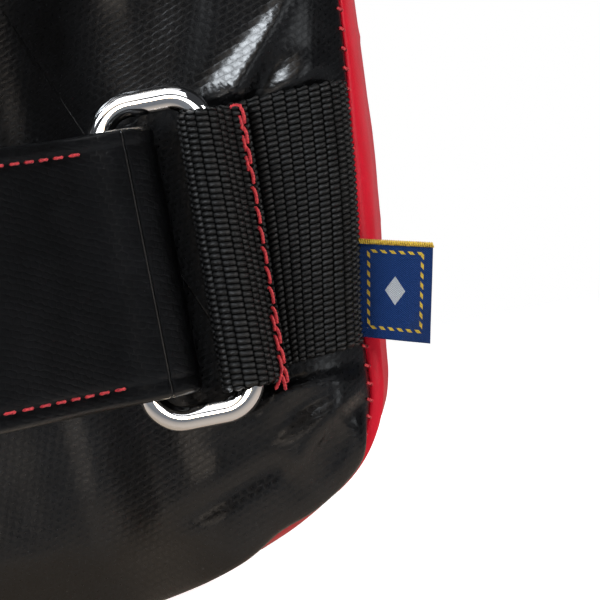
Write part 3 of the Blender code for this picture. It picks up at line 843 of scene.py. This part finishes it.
def band(name, path, t, thick, material, edge_round, relief, middle, fray=0.0, shift=None, slide=None):
    """A closed strap: path in X and up, t across it.

    relief(s, t) raises both of its faces, shift(s, t) moves it along X and slide(s, t) along Z.
    """
    run = lengths(path)
    s_grid, t_grid = np.meshgrid(run, t, indexing="ij")
    line = np.repeat(path[:, None, :], len(t), 1)
    if shift is not None:
        line = line + np.stack([shift(s_grid, t_grid), np.zeros_like(s_grid)], -1)
    normal = np.stack([normals_of(line[:, j]) for j in range(len(t))], 1)
    half_width = t[-1]
    over = np.clip((np.abs(t_grid) - (half_width - edge_round)) / edge_round, 0.0, 1.0)
    half = thick / 2 * np.maximum(np.sqrt(1 - over ** 2), 0.12)
    bump = relief(s_grid, t_grid) * (1 - over ** 4)
    z = middle + t_grid + fray * np.sign(t_grid) * over * np.sin(s_grid * 2 * math.pi / COLUMN)
    if slide is not None:
        z = z + slide(s_grid, t_grid)
    sides = []
    for sign in (1, -1):
        point = line + normal * (sign * (half + bump))[..., None]
        sides.append(np.stack([point[..., 0], point[..., 1], z], -1))
    grid = np.concatenate([sides[0], sides[1][:, ::-1]], 1)
    across = np.concatenate([t, t[::-1], t[:1]])
    uv = np.stack(np.broadcast_arrays(run[:, None], across[None, :]), -1)
    rows, cols = grid.shape[:2]
    faces = grid_faces(rows, cols, True).tolist()
    corners = [corner_uvs(uv, rows, cols, True)]
    for row in (0, rows - 1):
        for i in range(len(t) - 1):
            ring = [i, i + 1, cols - 2 - i, cols - 1 - i]
            faces.append([row * cols + k for k in ring])
            corners.append(uv[row, ring])
    piece = make_object(name, grid, faces, material, np.concatenate(corners))
    return recalc(piece)


def weave_relief(s, t):
    """Long floats in staggered columns, as on heavy nylon webbing."""
    column = np.floor(s / COLUMN)
    fs = s / COLUMN - column
    lean = (fs - 0.5) * COLUMN * math.tan(WEAVE_LEAN)
    row = t / ROW + lean / ROW + 0.5 * (column % 2)
    ft = row - np.floor(row)
    # a fixed hash, so that no two floats are quite as high
    cell = np.sin(column * 12.9898 + np.floor(row) * 78.233) * 43758.5453
    uneven = 0.86 + 0.28 * (cell - np.floor(cell))
    rise = np.sin(math.pi * fs) ** 0.5 * np.sin(math.pi * ft) ** 0.8
    return FLOAT_HEIGHT * (rise * uneven - 0.62)


def flap_line(steps):
    """The webbing's returning end, from the ring's bar down to its sewn layer."""
    top = BAR_UP + FOLD_RADIUS
    rest = WEBBING_FLAT_UP + WEBBING_THICK + 0.35
    return bezier((BAR_X, top), (BAR_X + 3.0, top), (BAR_X + 3.2, rest), (BAR_X + 6.9, rest), steps)


def ring_webbing_path():
    edge = float(half_width_at(STRAPS["lower"]))
    run_in = bezier((edge - 3.7, SEAM_UP + 2.2), (edge - 4.3, WEBBING_FLAT_UP - 1.6),
                    (edge - 7.5, WEBBING_FLAT_UP), (edge - 15.0, WEBBING_FLAT_UP), 40)
    fold = arc((BAR_X, BAR_UP), FOLD_RADIUS, 270, 90, 60)
    return joined(run_in, fold, flap_line(30)), edge


def ring_webbing(prefix, middle, looks):
    path, edge = ring_webbing_path()
    path = even(path, 0.25)
    t = np.linspace(-WEBBING_HALF, WEBBING_HALF, 400)
    flat_end = lengths(path)[np.argmax(path[:, 0] < BAR_X + 1.0)]

    def follow_side(s, t_grid):
        z = middle + t_grid
        local = half_width_at(z) - drawn_in(z) - edge
        sewn = (stitch_x(z, middle) - FLAP_SEAM_X) * smooth((s - s.max() + 5.0) / 4.0)
        lean = FOLD_LEAN * t_grid * bell(s - flat_end - 7.0, 7.0)
        return local * (1 - smooth((s - 10.0) / (flat_end - 10.0))) + sewn + lean

    def gathered(s, t_grid):
        """The sewn layer lies a little high, more so at its lower edge and near the seam."""
        fade = (1.0 - 0.35 * np.minimum(s / 21.0, 1.0)) * (1 - smooth((s - 19.0) / 8.0))
        return (2.3 - 1.3 * t_grid / WEBBING_HALF) * fade

    piece = band(f"{prefix}_webbing_woven", path, t, WEBBING_THICK, looks["webbing"], 0.9,
                 weave_relief, middle, 0.16, follow_side, gathered)
    attach(piece, "black_webbing", "pad", f"{prefix}_ring_webbing")


def flap_top(x):
    """Height of the webbing's returning end at x."""
    line = flap_line(60)
    return np.interp(x, line[:, 0], line[:, 1]) + WEBBING_THICK / 2


# ---------------------------------------------------------------- rings

def chrome_ring(prefix, middle, looks):
    high = RING_HALF_LENGTH - RING_CORNER
    near, far = RING_CORNER, RING_SPAN - RING_CORNER
    line = np.concatenate([arc((x, z), RING_CORNER, turn, turn + 90, 14) for x, z, turn in
                           ((far, high, 0), (near, high, 90), (near, -high, 180), (far, -high, 270))])
    ahead = np.roll(line, -1, 0) - np.roll(line, 1, 0)
    ahead /= np.linalg.norm(ahead, axis=1, keepdims=True)
    outward = np.stack([ahead[:, 1], -ahead[:, 0]], 1)
    sides = 28
    angle = around(sides)
    flat = line[:, None] + outward[:, None] * WIRE_RADIUS * np.cos(angle)[None, :, None]
    lift = np.broadcast_to(WIRE_RADIUS * np.sin(angle), flat.shape[:2])
    x = BAR_X - flat[..., 0] * math.cos(RING_TILT) + lift * math.sin(RING_TILT)
    up = BAR_UP + flat[..., 0] * math.sin(RING_TILT) + lift * math.cos(RING_TILT)
    grid = np.stack([x, up, middle + flat[..., 1]], -1)
    faces = grid_faces(len(grid) + 1, sides, True) % (len(grid) * sides)
    piece = recalc(make_object(f"{prefix}_ring_polished", grid, faces, looks["chrome"]))
    attach(piece, "chrome", f"{prefix}_ring_body", f"{prefix}_ring")


# ---------------------------------------------------------------- straps

FREE_BAR = (BAR_X - RING_SPAN * math.cos(RING_TILT), BAR_UP + RING_SPAN * math.sin(RING_TILT))
PEEL_HINGE = (FREE_BAR[0], FREE_BAR[1] + WRAP_RADIUS)


def arch_path():
    low = (FREE_BAR[0], FREE_BAR[1] - WRAP_RADIUS)
    rise = bezier(low, (low[0] - 10, low[1]), (STRAP_CREST[0] + 32, STRAP_CREST[1]), STRAP_CREST, 60)
    fall = bezier(STRAP_CREST, (STRAP_CREST[0] - 32, STRAP_CREST[1]),
                  (STRAP_HINGE[0] + 12, STRAP_HINGE[1] + 20), STRAP_HINGE, 60)
    return joined(rise, fall)


def above_arch(lift, low_x, high_x):
    arch = arch_path()
    raised = arch - normals_of(arch) * lift
    return raised[(raised[:, 0] > low_x) & (raised[:, 0] < high_x)]


def leather_relief(s, t):
    """A pressed line beside each edge, where the strap is sewn."""
    return -0.22 * bell(np.abs(t) - (STRAP_HALF - STRAP_STITCH_IN), 0.6)


def strap_across():
    """Stations across a strap, closer at its round edges and at its pressed lines."""
    fine = [s * (STRAP_HALF - d) for s in (-1, 1) for d in (0.25, 0.5, 0.75, 2.6, STRAP_STITCH_IN, 3.8)]
    return np.unique(np.concatenate([np.linspace(-STRAP_HALF, STRAP_HALF, 49), fine]))


def left_root(middle):
    edge = float(half_width_at(middle))
    flat_up = SEAM_UP + PUFF_HEIGHT + 2.2
    run = bezier((edge - 3.4, SEAM_UP + 2.6), (edge - 3.9, flat_up - 1.2), (edge - 8.0, flat_up),
                 (edge - 15.0, flat_up), 30)
    run[:, 0] *= -1
    return np.concatenate([run, [(-76.0, flat_up + 0.5), (-72.4, flat_up + 1.7)]])


def strap_band(name, path, middle, looks, *replaced):
    """A strap's leather, left on no body: it is not blended over its two bodies."""
    piece = band(name, even(path, 1.0), strap_across(), STRAP_THICK, looks["strap"], 1.0,
                 leather_relief, middle)
    attach(piece, "strap_leather", None, *replaced)
    return piece


def strap_leather(prefix, middle, looks):
    """Root and base: one length of strap that bends where it leaves the left bolster."""
    wrap = arc(FREE_BAR, WRAP_RADIUS, 62, -90, 40)
    base = joined(wrap, arch_path())[::-1]
    piece = strap_band(f"{prefix}_strap_leather", joined(left_root(middle), base), middle, looks,
                       f"{prefix}_strap_root", f"{prefix}_strap_base")
    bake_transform(piece)


def tail_line():
    over = above_arch(TAIL_LIFT, -44.0, 31.0)
    along = over[0] - over[1]
    along /= np.linalg.norm(along)
    lead = bezier(PEEL_HINGE, (PEEL_HINGE[0] - 9, PEEL_HINGE[1] + 1), over[0] + along * 9, over[0], 30)
    return joined(lead, over)


def strap_tail(prefix, middle, looks):
    """The free end, from the wrap round the ring back over the base."""
    start = arc(FREE_BAR, WRAP_RADIUS, 58, 90, 12)
    piece = strap_band(f"{prefix}_tail_leather", joined(start, tail_line()), middle, looks,
                       f"{prefix}_strap_tail")
    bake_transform(piece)


def tapes(prefix, middle, looks):
    def pile(s, t):
        return 0.12 * np.sin(s * 3.1 + np.sin(t * 2.3)) * np.sin(t * 2.9 + np.sin(s * 1.7))

    t = np.linspace(-TAPE_HALF, TAPE_HALF, 90)
    for kind, lift, low, high, body in (("loop", TAPE_LIFT, -50.0, 30.0, "strap"),
                                        ("hook", HOOK_LIFT, -42.0, 6.0, "tail")):
        piece = band(f"{prefix}_{kind}_pile", even(above_arch(lift, low, high), 0.8), t, TAPE_THICK - 0.2,
                     looks["tape"], 0.4, pile, middle)
        attach(piece, "hook_and_loop", f"{prefix}_{body}", f"{prefix}_{kind}_tape")


# ---------------------------------------------------------------- stitches

def tubes(name, lines, radius, material, sides=8, twist=1.1):
    """One mesh of twisted threads, each with rounded ends, along lines of X, up, Z points."""
    verts, faces = [], []
    angle = around(sides)
    for line in lines:
        line = np.asarray(line, float)
        along = np.gradient(line, axis=0)
        along /= np.linalg.norm(along, axis=1, keepdims=True)
        side = np.cross(along, [0.0, 1.0, 0.0])
        weak = np.linalg.norm(side, axis=1) < 0.15
        side[weak] = np.cross(along[weak], [1.0, 0.0, 0.0])
        side /= np.linalg.norm(side, axis=1, keepdims=True)
        lift = np.cross(side, along)
        run = lengths(line)
        end = np.minimum(run, run[-1] - run) / radius
        taper = np.sqrt(np.clip(1 - (1 - np.clip(end, 0, 1)) ** 2, 0.06, 1))
        lobes = 1 + 0.16 * np.cos(2 * (angle[None, :] - run[:, None] * 2 * math.pi / twist))
        size = radius * taper[:, None] * lobes
        ring = (line[:, None] + side[:, None] * (size * np.cos(angle))[..., None]
                + lift[:, None] * (size * np.sin(angle))[..., None])
        first = len(verts)
        verts.extend(ring.reshape(-1, 3))
        faces.extend((grid_faces(len(line), sides, True) + first).tolist())
        faces.append([first + i for i in range(sides)])
        faces.append([first + (len(line) - 1) * sides + i for i in range(sides)])
    return recalc(make_object(name, np.array(verts), faces, material))


def sew(name, lines, radius, sides, looks, body="pad"):
    """Red stitches that one body carries."""
    attach(tubes(name, lines, radius, looks["red_thread"], sides), "red_leather", body)


def sink(t, depth, sharp=4):
    """How far a stitch dips at its two ends, as t goes from 0 to 1."""
    return depth * np.abs(2 * t - 1) ** sharp


def stitch_x(z, middle):
    """The seam line of the webbing's folded end, which wanders a little."""
    d = (z - middle) / WEBBING_HALF
    return FLAP_SEAM_X + 0.78 * d + 0.22 * d ** 2


def s_stitch(middle, z_top, side_step, length, lean=0.45, stations=15):
    """One lockstitch on the flap: it rises from a hole, bows outwards and sinks again."""
    t = np.linspace(0, 1, stations)
    z = z_top - length * t
    x = stitch_x(z, middle) + side_step + lean * (0.55 - 1.7 * np.exp(-4.5 * t) - 0.5 * t ** 3)
    return np.stack([x, flap_top(x) + 0.34 - sink(t, 0.55, 6), z], 1)


def webbing_stitches(prefix, middle, looks):
    lines = []
    top = middle + WEBBING_HALF - 0.6
    count = int((2 * WEBBING_HALF - 1.2) / STITCH_PITCH)
    for i in range(count + 1):
        z = top - i * STITCH_PITCH
        length = min(STITCH_PITCH - 0.35, z - (middle - WEBBING_HALF) + 0.5)
        lines.append(s_stitch(middle, z, 0.0, length))
        if i < 3 or i > count - 4:
            lines.append(s_stitch(middle, z - STITCH_PITCH * 0.42, -0.55, length * 0.9, 0.25))
    hook_t = np.linspace(0, 1, 14)
    hook_x = stitch_x(top, middle) - 2.3 * (1 - hook_t)
    lines.append(np.stack([hook_x, flap_top(hook_x) + 0.3 - sink(hook_t, 0.3, 6),
                           top - 0.1 + 0.35 * np.sin(math.pi * hook_t)], 1))
    tail_t = np.linspace(0, 1, 18)
    low = middle - WEBBING_HALF
    tail_x = stitch_x(low, middle) - 0.4 - 1.9 * tail_t ** 1.6
    tail_up = flap_top(tail_x) + 0.3 + 0.3 * np.sin(math.pi * tail_t) - 2.0 * tail_t ** 2
    lines.append(np.stack([tail_x, tail_up, low + 2.6 - 3.9 * tail_t], 1))
    sew(f"{prefix}_fold_stitches", lines, THREAD_RADIUS, 10, looks)


def back_seam_stitches(looks):
    """Short loops all round, from the red band up onto the black cover."""
    edge = outline(0.0)
    seam = seam_inset(edge)
    run = lengths(closed(edge))
    starts = np.arange(int(run[-1] / STITCH_PITCH)) * STITCH_PITCH
    stations = []
    for t in np.linspace(0, 1, 9):
        inside = -0.45 + 1.05 * t
        ring = outline(seam + inside - LIP_REACH * 0.25 * lip(edge) * t)
        track = level_ring(ring, puffed(ring[:, 0], inside) + 0.42 - sink(t, 0.7))
        stations.append(read(closed(track), run, starts + t * 0.55))
    sew("back_seam_stitches", np.stack(stations, 1), THREAD_RADIUS * 0.95, 8, looks)


def rim_stitches(name, inset, up, looks):
    """A row of stitches all round the pad, at an inset from its outline."""
    edge, within = outline(0.0), outline(1.0)
    loop = level_ring(closed(outline(inset)), up)
    run = lengths(loop)
    outward = closed(level_ring(edge - within, 0.0))
    t = np.linspace(0, 1, 7)
    lines = []
    for i in range(int(run[-1] / STITCH_PITCH)):
        at = i * STITCH_PITCH + t * 0.9
        point = read(loop, run, at) + read(outward, run, at) * ((t - 0.5) * 0.8)[:, None]
        point[:, 1] -= 0.5 * (0.5 - 1.2 * np.abs(2 * t - 1) ** 3)
        lines.append(point)
    sew(name, lines, THREAD_RADIUS * 0.75, 6, looks)


def strap_stitches(prefix, middle, looks):
    """Rows along both edges of the straps."""
    for name, path, sign, body in (("base", arch_path()[::-1], 1.0, "strap"),
                                   ("tail", tail_line(), -1.0, "tail")):
        path = even(path, 0.6)
        run = lengths(path)
        normal = normals_of(path)
        t = np.linspace(0, 1, 7)
        off = STRAP_THICK / 2 - 0.06 - sink(t, 0.3)
        lines = []
        for side in (-1, 1):
            z = middle + side * (STRAP_HALF - STRAP_STITCH_IN)
            for i in range(1, int(run[-1] / STITCH_PITCH) - 1):
                at = i * STITCH_PITCH + t * (STITCH_PITCH - 1.0)
                point = read(path, run, at) + sign * read(normal, run, at) * off[:, None]
                lines.append(np.stack([point[:, 0], point[:, 1], np.full(7, z)], 1))
        sew(f"{prefix}_{name}_stitches", lines, 0.28, 6, looks, f"{prefix}_{body}")


# ---------------------------------------------------------------- handle

def handle(looks):
    right = bezier((60.5, 67.6), (58.5, 78.0), (56.0, GRIP_UP), (46.0, GRIP_UP), 40)
    foot = bezier((74.0, 60.9), (64.0, 60.6), (61.2, 61.5), (60.5, 67.6), 24)
    left = joined(foot, right)[::-1] * np.array([-1, 1])
    path = even(np.concatenate([joined(foot, right), left]), 0.6)
    t = np.linspace(-12.0, 12.0, 120)
    piece = band("handle_webbing_woven", path, t, 2.2, looks["webbing"], 0.8, weave_relief, HANDLE_Z, 0.12)
    attach(piece, "black_webbing", None, "handle_webbing")
    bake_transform(piece)

    half = GRIP_HALF
    x = np.concatenate([[-half, -half, -half + 0.5], np.linspace(-half + 1.5, half - 1.5, 70),
                        [half - 0.5, half, half]])
    radius = np.full(len(x), GRIP_RADIUS + 1.6)
    radius[[0, -1]] = GRIP_RADIUS - 1.0
    radius[[1, -2]] = GRIP_RADIUS + 1.0
    angle = around(96)
    xx, aa = np.meshgrid(x, angle, indexing="ij")
    rr = np.repeat(radius[:, None], len(angle), 1)
    pinch = -0.5 * bell(np.abs(xx) - (half - 6), 1.2) - 0.8 * bell(aa - 1.5 * math.pi, 0.05)
    soft = 0.5 * wobble(np.stack([xx, 20 * np.cos(aa), 20 * np.sin(aa)], -1), 15.0, 11.0)
    inner = (np.abs(xx) < half - 0.2)
    rr = rr + (pinch + soft - 0.4) * inner
    grid = np.stack([xx, GRIP_UP + rr * np.cos(aa), HANDLE_Z + rr * np.sin(aa)], -1)
    girth = np.arange(len(angle) + 1) * 2 * math.pi / len(angle) * GRIP_RADIUS
    uv = np.stack(np.broadcast_arrays(x[:, None], girth[None, :]), -1)
    wrap = recalc(sheet("handle_wrap_leather", grid, uv, looks["strap"], wrap=True))
    attach(wrap, "black_leather", "handle", "handle_wrap")
    lines = []
    for i in range(int(2 * (half - 7) / STITCH_PITCH)):
        s = np.linspace(0, 1, 8)
        px = -half + 7 + (i + s * 0.72) * STITCH_PITCH
        a = 1.5 * math.pi + 0.12 * np.sin(math.pi * (s + 0.5))
        r = GRIP_RADIUS + 1.45 - sink(s, 0.3)
        lines.append(np.stack([px, GRIP_UP + r * np.cos(a), HANDLE_Z + r * np.sin(a)], 1))
    sew("handle_wrap_stitches", lines, 0.3, 6, looks, "handle")

    for name, side in (("left", -1), ("right", 1)):
        path = even(np.array([(84.5, PATCH_UP), (72.0, PATCH_UP), (61.0, PATCH_UP), (58.6, 62.6),
                              (57.0, 63.8)]), 0.8)
        path[:, 0] *= side
        t = np.linspace(-17.0, 17.0, 60)
        piece = band(f"handle_patch_{name}", path, t, 2.0, looks["strap"], 0.8,
                     lambda s, t: -0.2 * bell(np.abs(t) - PATCH_STITCH, 0.5), HANDLE_Z)
        attach(piece, "black_leather", "pad", f"handle_anchor_{name}")
        lines = []
        for edge in (-1, 1):
            for i in range(6):
                s = np.linspace(0, 1, 7)
                px = side * (61.5 + (i + s * 0.75) * STITCH_PITCH)
                lines.append(np.stack([px, 63.0 - sink(s, 0.3),
                                       np.full(7, HANDLE_Z + edge * PATCH_STITCH)], 1))
        sew(f"handle_patch_stitches_{name}", lines, 0.3, 6, looks)


# ---------------------------------------------------------------- tag

TAG_HALF = 8.6
TAG_REACH = 13.7


def tag_grid(offset):
    """The woven label: its root follows the seam, and its low outer corner curls."""
    along = np.linspace(0, 1, 44)
    down = np.linspace(0, 1, 60)
    a, d = np.meshgrid(along, down, indexing="ij")
    z_root = 62.2 - d * 2 * TAG_HALF
    x_root = half_width_at(z_root) - drawn_in(z_root) - 3.5 - 0.5 * d
    x = x_root + a * TAG_REACH * math.cos(math.radians(16)) * (1 - 0.06 * d)
    z = z_root - a * TAG_REACH * math.sin(math.radians(14 + 4 * d[0, 0])) - 0.5 * a * d
    up = 54.6 + 1.0 * np.sin(math.pi * a * 0.8) * (0.5 + 0.5 * d) - 2.4 * smooth((a * d - 0.55) / 0.45)
    up = up + offset
    return np.stack([x, up, z], -1), a, d


def side_tag(looks):
    top, a, d = tag_grid(0.34)
    low, _, _ = tag_grid(-0.34)
    rows, cols = top.shape[:2]
    verts = np.concatenate([top.reshape(-1, 3), low.reshape(-1, 3)])
    uv_top = np.stack([a * TAG_REACH, (1 - d) * 2 * TAG_HALF], -1)
    uv_all = np.concatenate([uv_top.reshape(-1, 2)] * 2)
    faces = grid_faces(rows, cols, False)
    shift = rows * cols
    rim = ([r * cols for r in range(rows)] + [(rows - 1) * cols + c for c in range(1, cols)]
           + [r * cols + cols - 1 for r in range(rows - 2, -1, -1)] + [c for c in range(cols - 2, 0, -1)])
    wall = [(rim[i], rim[(i + 1) % len(rim)], rim[(i + 1) % len(rim)] + shift, rim[i] + shift)
            for i in range(len(rim))]
    every = faces.tolist() + (faces + shift).tolist() + wall
    uvs = np.concatenate([uv_all[list(f)] for f in every])
    piece = make_object("side_tag_woven", verts, every, tag_look(TAG_REACH / 2, TAG_HALF), uvs)
    recalc(piece)
    attach(piece, "tag_fabric", None, "side_tag")
    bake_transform(piece)
    lines = []
    count, along = 34, np.linspace(0, 1, rows)
    s = np.linspace(0, 1, 8)
    bend = s * math.pi
    for i in range(count):
        x = np.interp((i + 0.3 + 0.5 * s) / count, along, top[:, 0, 0])
        up, z = (np.interp((i + 0.5) / count, along, top[:, 0, k]) for k in (1, 2))
        lines.append(np.stack([x, up - 0.3 + 0.55 * np.sin(bend), z - 0.3 + 0.75 * np.cos(bend) * 0.6], 1))
    piece = tubes("side_tag_overlock", lines, 0.17, looks["yellow_thread"], 6)
    attach(piece, "tag_fabric", None)
    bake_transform(piece)


# ---------------------------------------------------------------- carried CAD nodes

def dress_cad_nodes(nodes, looks):
    """Materials for the nodes that stay as they are."""
    chosen = {"dense_foam": ("strike_foam", "middle_foam", "bolster_foam_left", "bolster_foam_right",
                             "handle_foam"),
              "soft_foam": ("rear_foam", "channel_foam"),
              "board": ("stiffener_board",),
              "chrome": [f"handle_{kind}_{i}" for kind in ("rivet", "washer") for i in range(1, 5)]}
    for look, names in chosen.items():
        for name in names:
            nodes[name].data.materials.clear()
            nodes[name].data.materials.append(looks[look])


# ---------------------------------------------------------------- studio

LOOK_AT = Vector((0.0779, -0.062, 0.0535))
CAMERA_DISTANCE = 0.6
CAMERA_SIDE = math.radians(2)
VIEW_ANGLE = math.radians(10.2)
PICTURE_UP = Vector((0.1934, 0.0, 0.981))


def aim(thing, target, up=Vector((0, 0, 1))):
    """Turns a camera or light towards a place."""
    back = (thing.location - target).normalized()
    right = up.cross(back).normalized()
    top = back.cross(right)
    thing.matrix_world = Matrix((
        (right.x, top.x, back.x, thing.location.x),
        (right.y, top.y, back.y, thing.location.y),
        (right.z, top.z, back.z, thing.location.z),
        (0, 0, 0, 1)))


def camera():
    lens = bpy.data.cameras.new("photo_camera")
    lens.angle = VIEW_ANGLE
    lens.clip_start = 0.01
    made = put("photo_camera", lens)
    made.location = LOOK_AT + CAMERA_DISTANCE * Vector((math.sin(CAMERA_SIDE), -math.cos(CAMERA_SIDE), 0.0))
    aim(made, LOOK_AT, PICTURE_UP)
    bpy.context.scene.camera = made


def softbox(name, place, target, width, height, power, colour, reaches=None):
    """A soft light; reaches holds words, and only pieces with one of them in their name are lit."""
    lamp = bpy.data.lights.new(name, "AREA")
    lamp.shape = "RECTANGLE"
    lamp.size, lamp.size_y = width, height
    lamp.energy = power
    lamp.color = colour
    made = put(name, lamp)
    made.location = place
    aim(made, Vector(target))
    made.visible_camera = False
    if reaches:
        group = bpy.data.collections.new(name + "_lit")
        for thing in bpy.context.scene.objects:
            if thing.type == "MESH" and not thing.hide_render and any(word in thing.name for word in reaches):
                group.objects.link(thing)
        made.light_linking.receiver_collection = group


def floor():
    """Pale and evenly bright to the camera; to reflections it is darker, with a warm glowing patch by the
    corner that paints a warm reflection on the leather's down-facing flanks.
    """
    mesh = bpy.data.meshes.new("floor")
    span, level = 3.0, -0.0005
    mesh.from_pydata([(x * span, y * span, level) for x, y in ((-1, -1), (1, -1), (1, 1), (-1, 1))],
                     [], [(0, 1, 2, 3)])
    pale = (0.86, 0.86, 0.86)
    look = Look("pale_floor", pale, 0.9)
    look.set("Specular IOR Level", 0.0)
    rays = look.node("LightPath").outputs
    seen, mirrored = Value(look, rays["Is Camera Ray"]), Value(look, rays["Is Glossy Ray"])
    here = look.node("SeparateXYZ")
    look.feed(here.inputs[0], look.node("NewGeometry").outputs["Position"])
    # painted reflection: a warm patch that glows only to glossy rays, near the pad's corner
    patch = look.ramp(here.outputs[1], -0.16, -0.085) * look.ramp(here.outputs[0], 0.2, 0.13) * mirrored
    look.set("Base Color", look.mix(mirrored, pale, (0.2, 0.205, 0.215)))
    # warm colour of the glowing reflection patch; white for the camera
    look.set("Emission Color", look.mix(seen, (1.0, 0.82, 0.64), (1.0, 1.0, 1.0)))
    look.set("Emission Strength", seen * 0.93 + patch * 0.42)
    mesh.materials.append(look.material)
    put("floor", mesh)


def sky():
    """White to the camera and faint to everything else."""
    world = bpy.data.worlds.new("studio")
    bpy.context.scene.world = world
    world.use_nodes = True
    tree = world.node_tree
    faint = tree.nodes["Background"]
    faint.inputs[0].default_value = (0.9, 0.93, 1.0, 1.0)
    faint.inputs[1].default_value = 0.045
    white = tree.nodes.new("ShaderNodeBackground")
    white.inputs[0].default_value = (1.0, 1.0, 1.0, 1.0)
    white.inputs[1].default_value = 1.0
    mixed = tree.nodes.new("ShaderNodeMixShader")
    for source, socket in ((tree.nodes.new("ShaderNodeLightPath").outputs["Is Camera Ray"], mixed.inputs[0]),
                           (faint.outputs[0], mixed.inputs[1]), (white.outputs[0], mixed.inputs[2]),
                           (mixed.outputs[0], tree.nodes["World Output"].inputs[0])):
        tree.links.new(source, socket)


def studio():
    """Soft light as in a product photograph, and bright cards that only the polished metal sees."""
    floor()
    sky()
    bpy.context.scene.view_settings.view_transform = "Standard"
    side = ("red_side", "strike", "woven", "stitches", "overlock", "polished", "rivet", "floor")
    metal, middle = ("polished", "rivet"), (0.06, -0.06, 0.1)
    for light in (
            # name, place, target, width, height, power, colour, pieces reached
            ("key_upper_left", (-0.64, -0.75, 1.02), (0.07, -0.06, 0.09), 0.42, 0.5, 16.0, (0.88, 0.94, 1.0)),
            ("fill_right", (1.25, -0.42, 0.3), (0.08, 0.0, 0.1), 0.4, 0.8, 11.0, (1.0, 0.98, 0.96), side),
            ("backdrop", (0.62, 1.1, 0.15), (0.1, 0.0, 0.15), 1.4, 1.0, 1.5, (1.0, 1.0, 1.0), ("red_side",)),
            ("low_left", (-0.3, -0.6, 0.02), (0.07, -0.05, 0.03), 0.5, 0.12, 0.4, (1.0, 0.86, 0.72)),
            ("warm_high", (-0.09, -1.06, 0.69), (0.07, -0.06, 0.05), 0.5, 0.2, 0.35, (1.0, 0.82, 0.64)),
            ("right_sheen", (0.67, -1.04, 0.16), (0.08, -0.06, 0.08), 0.55, 0.75, 1.7, (0.93, 0.97, 1.0),
             ("back_leather",)),
            ("rear_fill", (-0.75, 1.3, 0.85), (0.0, 0.05, 0.2), 0.9, 0.9, 15.0, (1.0, 0.99, 0.97),
             ("strike",)),
            ("overhead", (0.0, 0.2, 1.6), (0.0, 0.0, 0.0), 1.6, 1.6, 6.0, (1.0, 1.0, 1.0)),
            ("card_front", (0.02, -1.0, 0.2), middle, 1.2, 0.36, 5.0, (1.0, 0.99, 0.97), metal),
            ("card_warm", (0.35, -0.8, 0.06), middle, 0.5, 0.1, 1.8, (1.0, 0.78, 0.52), metal),
            ("card_top", (-0.1, -0.6, 0.9), middle, 1.6, 0.8, 9.0, (0.95, 0.97, 1.0), metal)):
        softbox(*light)


# ---------------------------------------------------------------- assembly

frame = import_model()
looks = make_looks()
dress_cad_nodes(frame["nodes"], looks)
back_cover(looks)
side_gusset(looks)
strike_cover(looks)
for prefix, middle in STRAPS.items():
    ring_webbing(prefix, middle, looks)
    chrome_ring(prefix, middle, looks)
    strap_leather(prefix, middle, looks)
    strap_tail(prefix, middle, looks)
    tapes(prefix, middle, looks)
    webbing_stitches(prefix, middle, looks)
    strap_stitches(prefix, middle, looks)
back_seam_stitches(looks)
rim_stitches("strike_seam_stitches", EDGE_INSET + 0.4 * drawn_in(outline(0.0)[:, 1]), STRIKE_UP + 5.3, looks)
rim_stitches("strike_face_stitches", 13.0, STRIKE_UP + 0.3, looks)
handle(looks)
side_tag(looks)
camera()
studio()
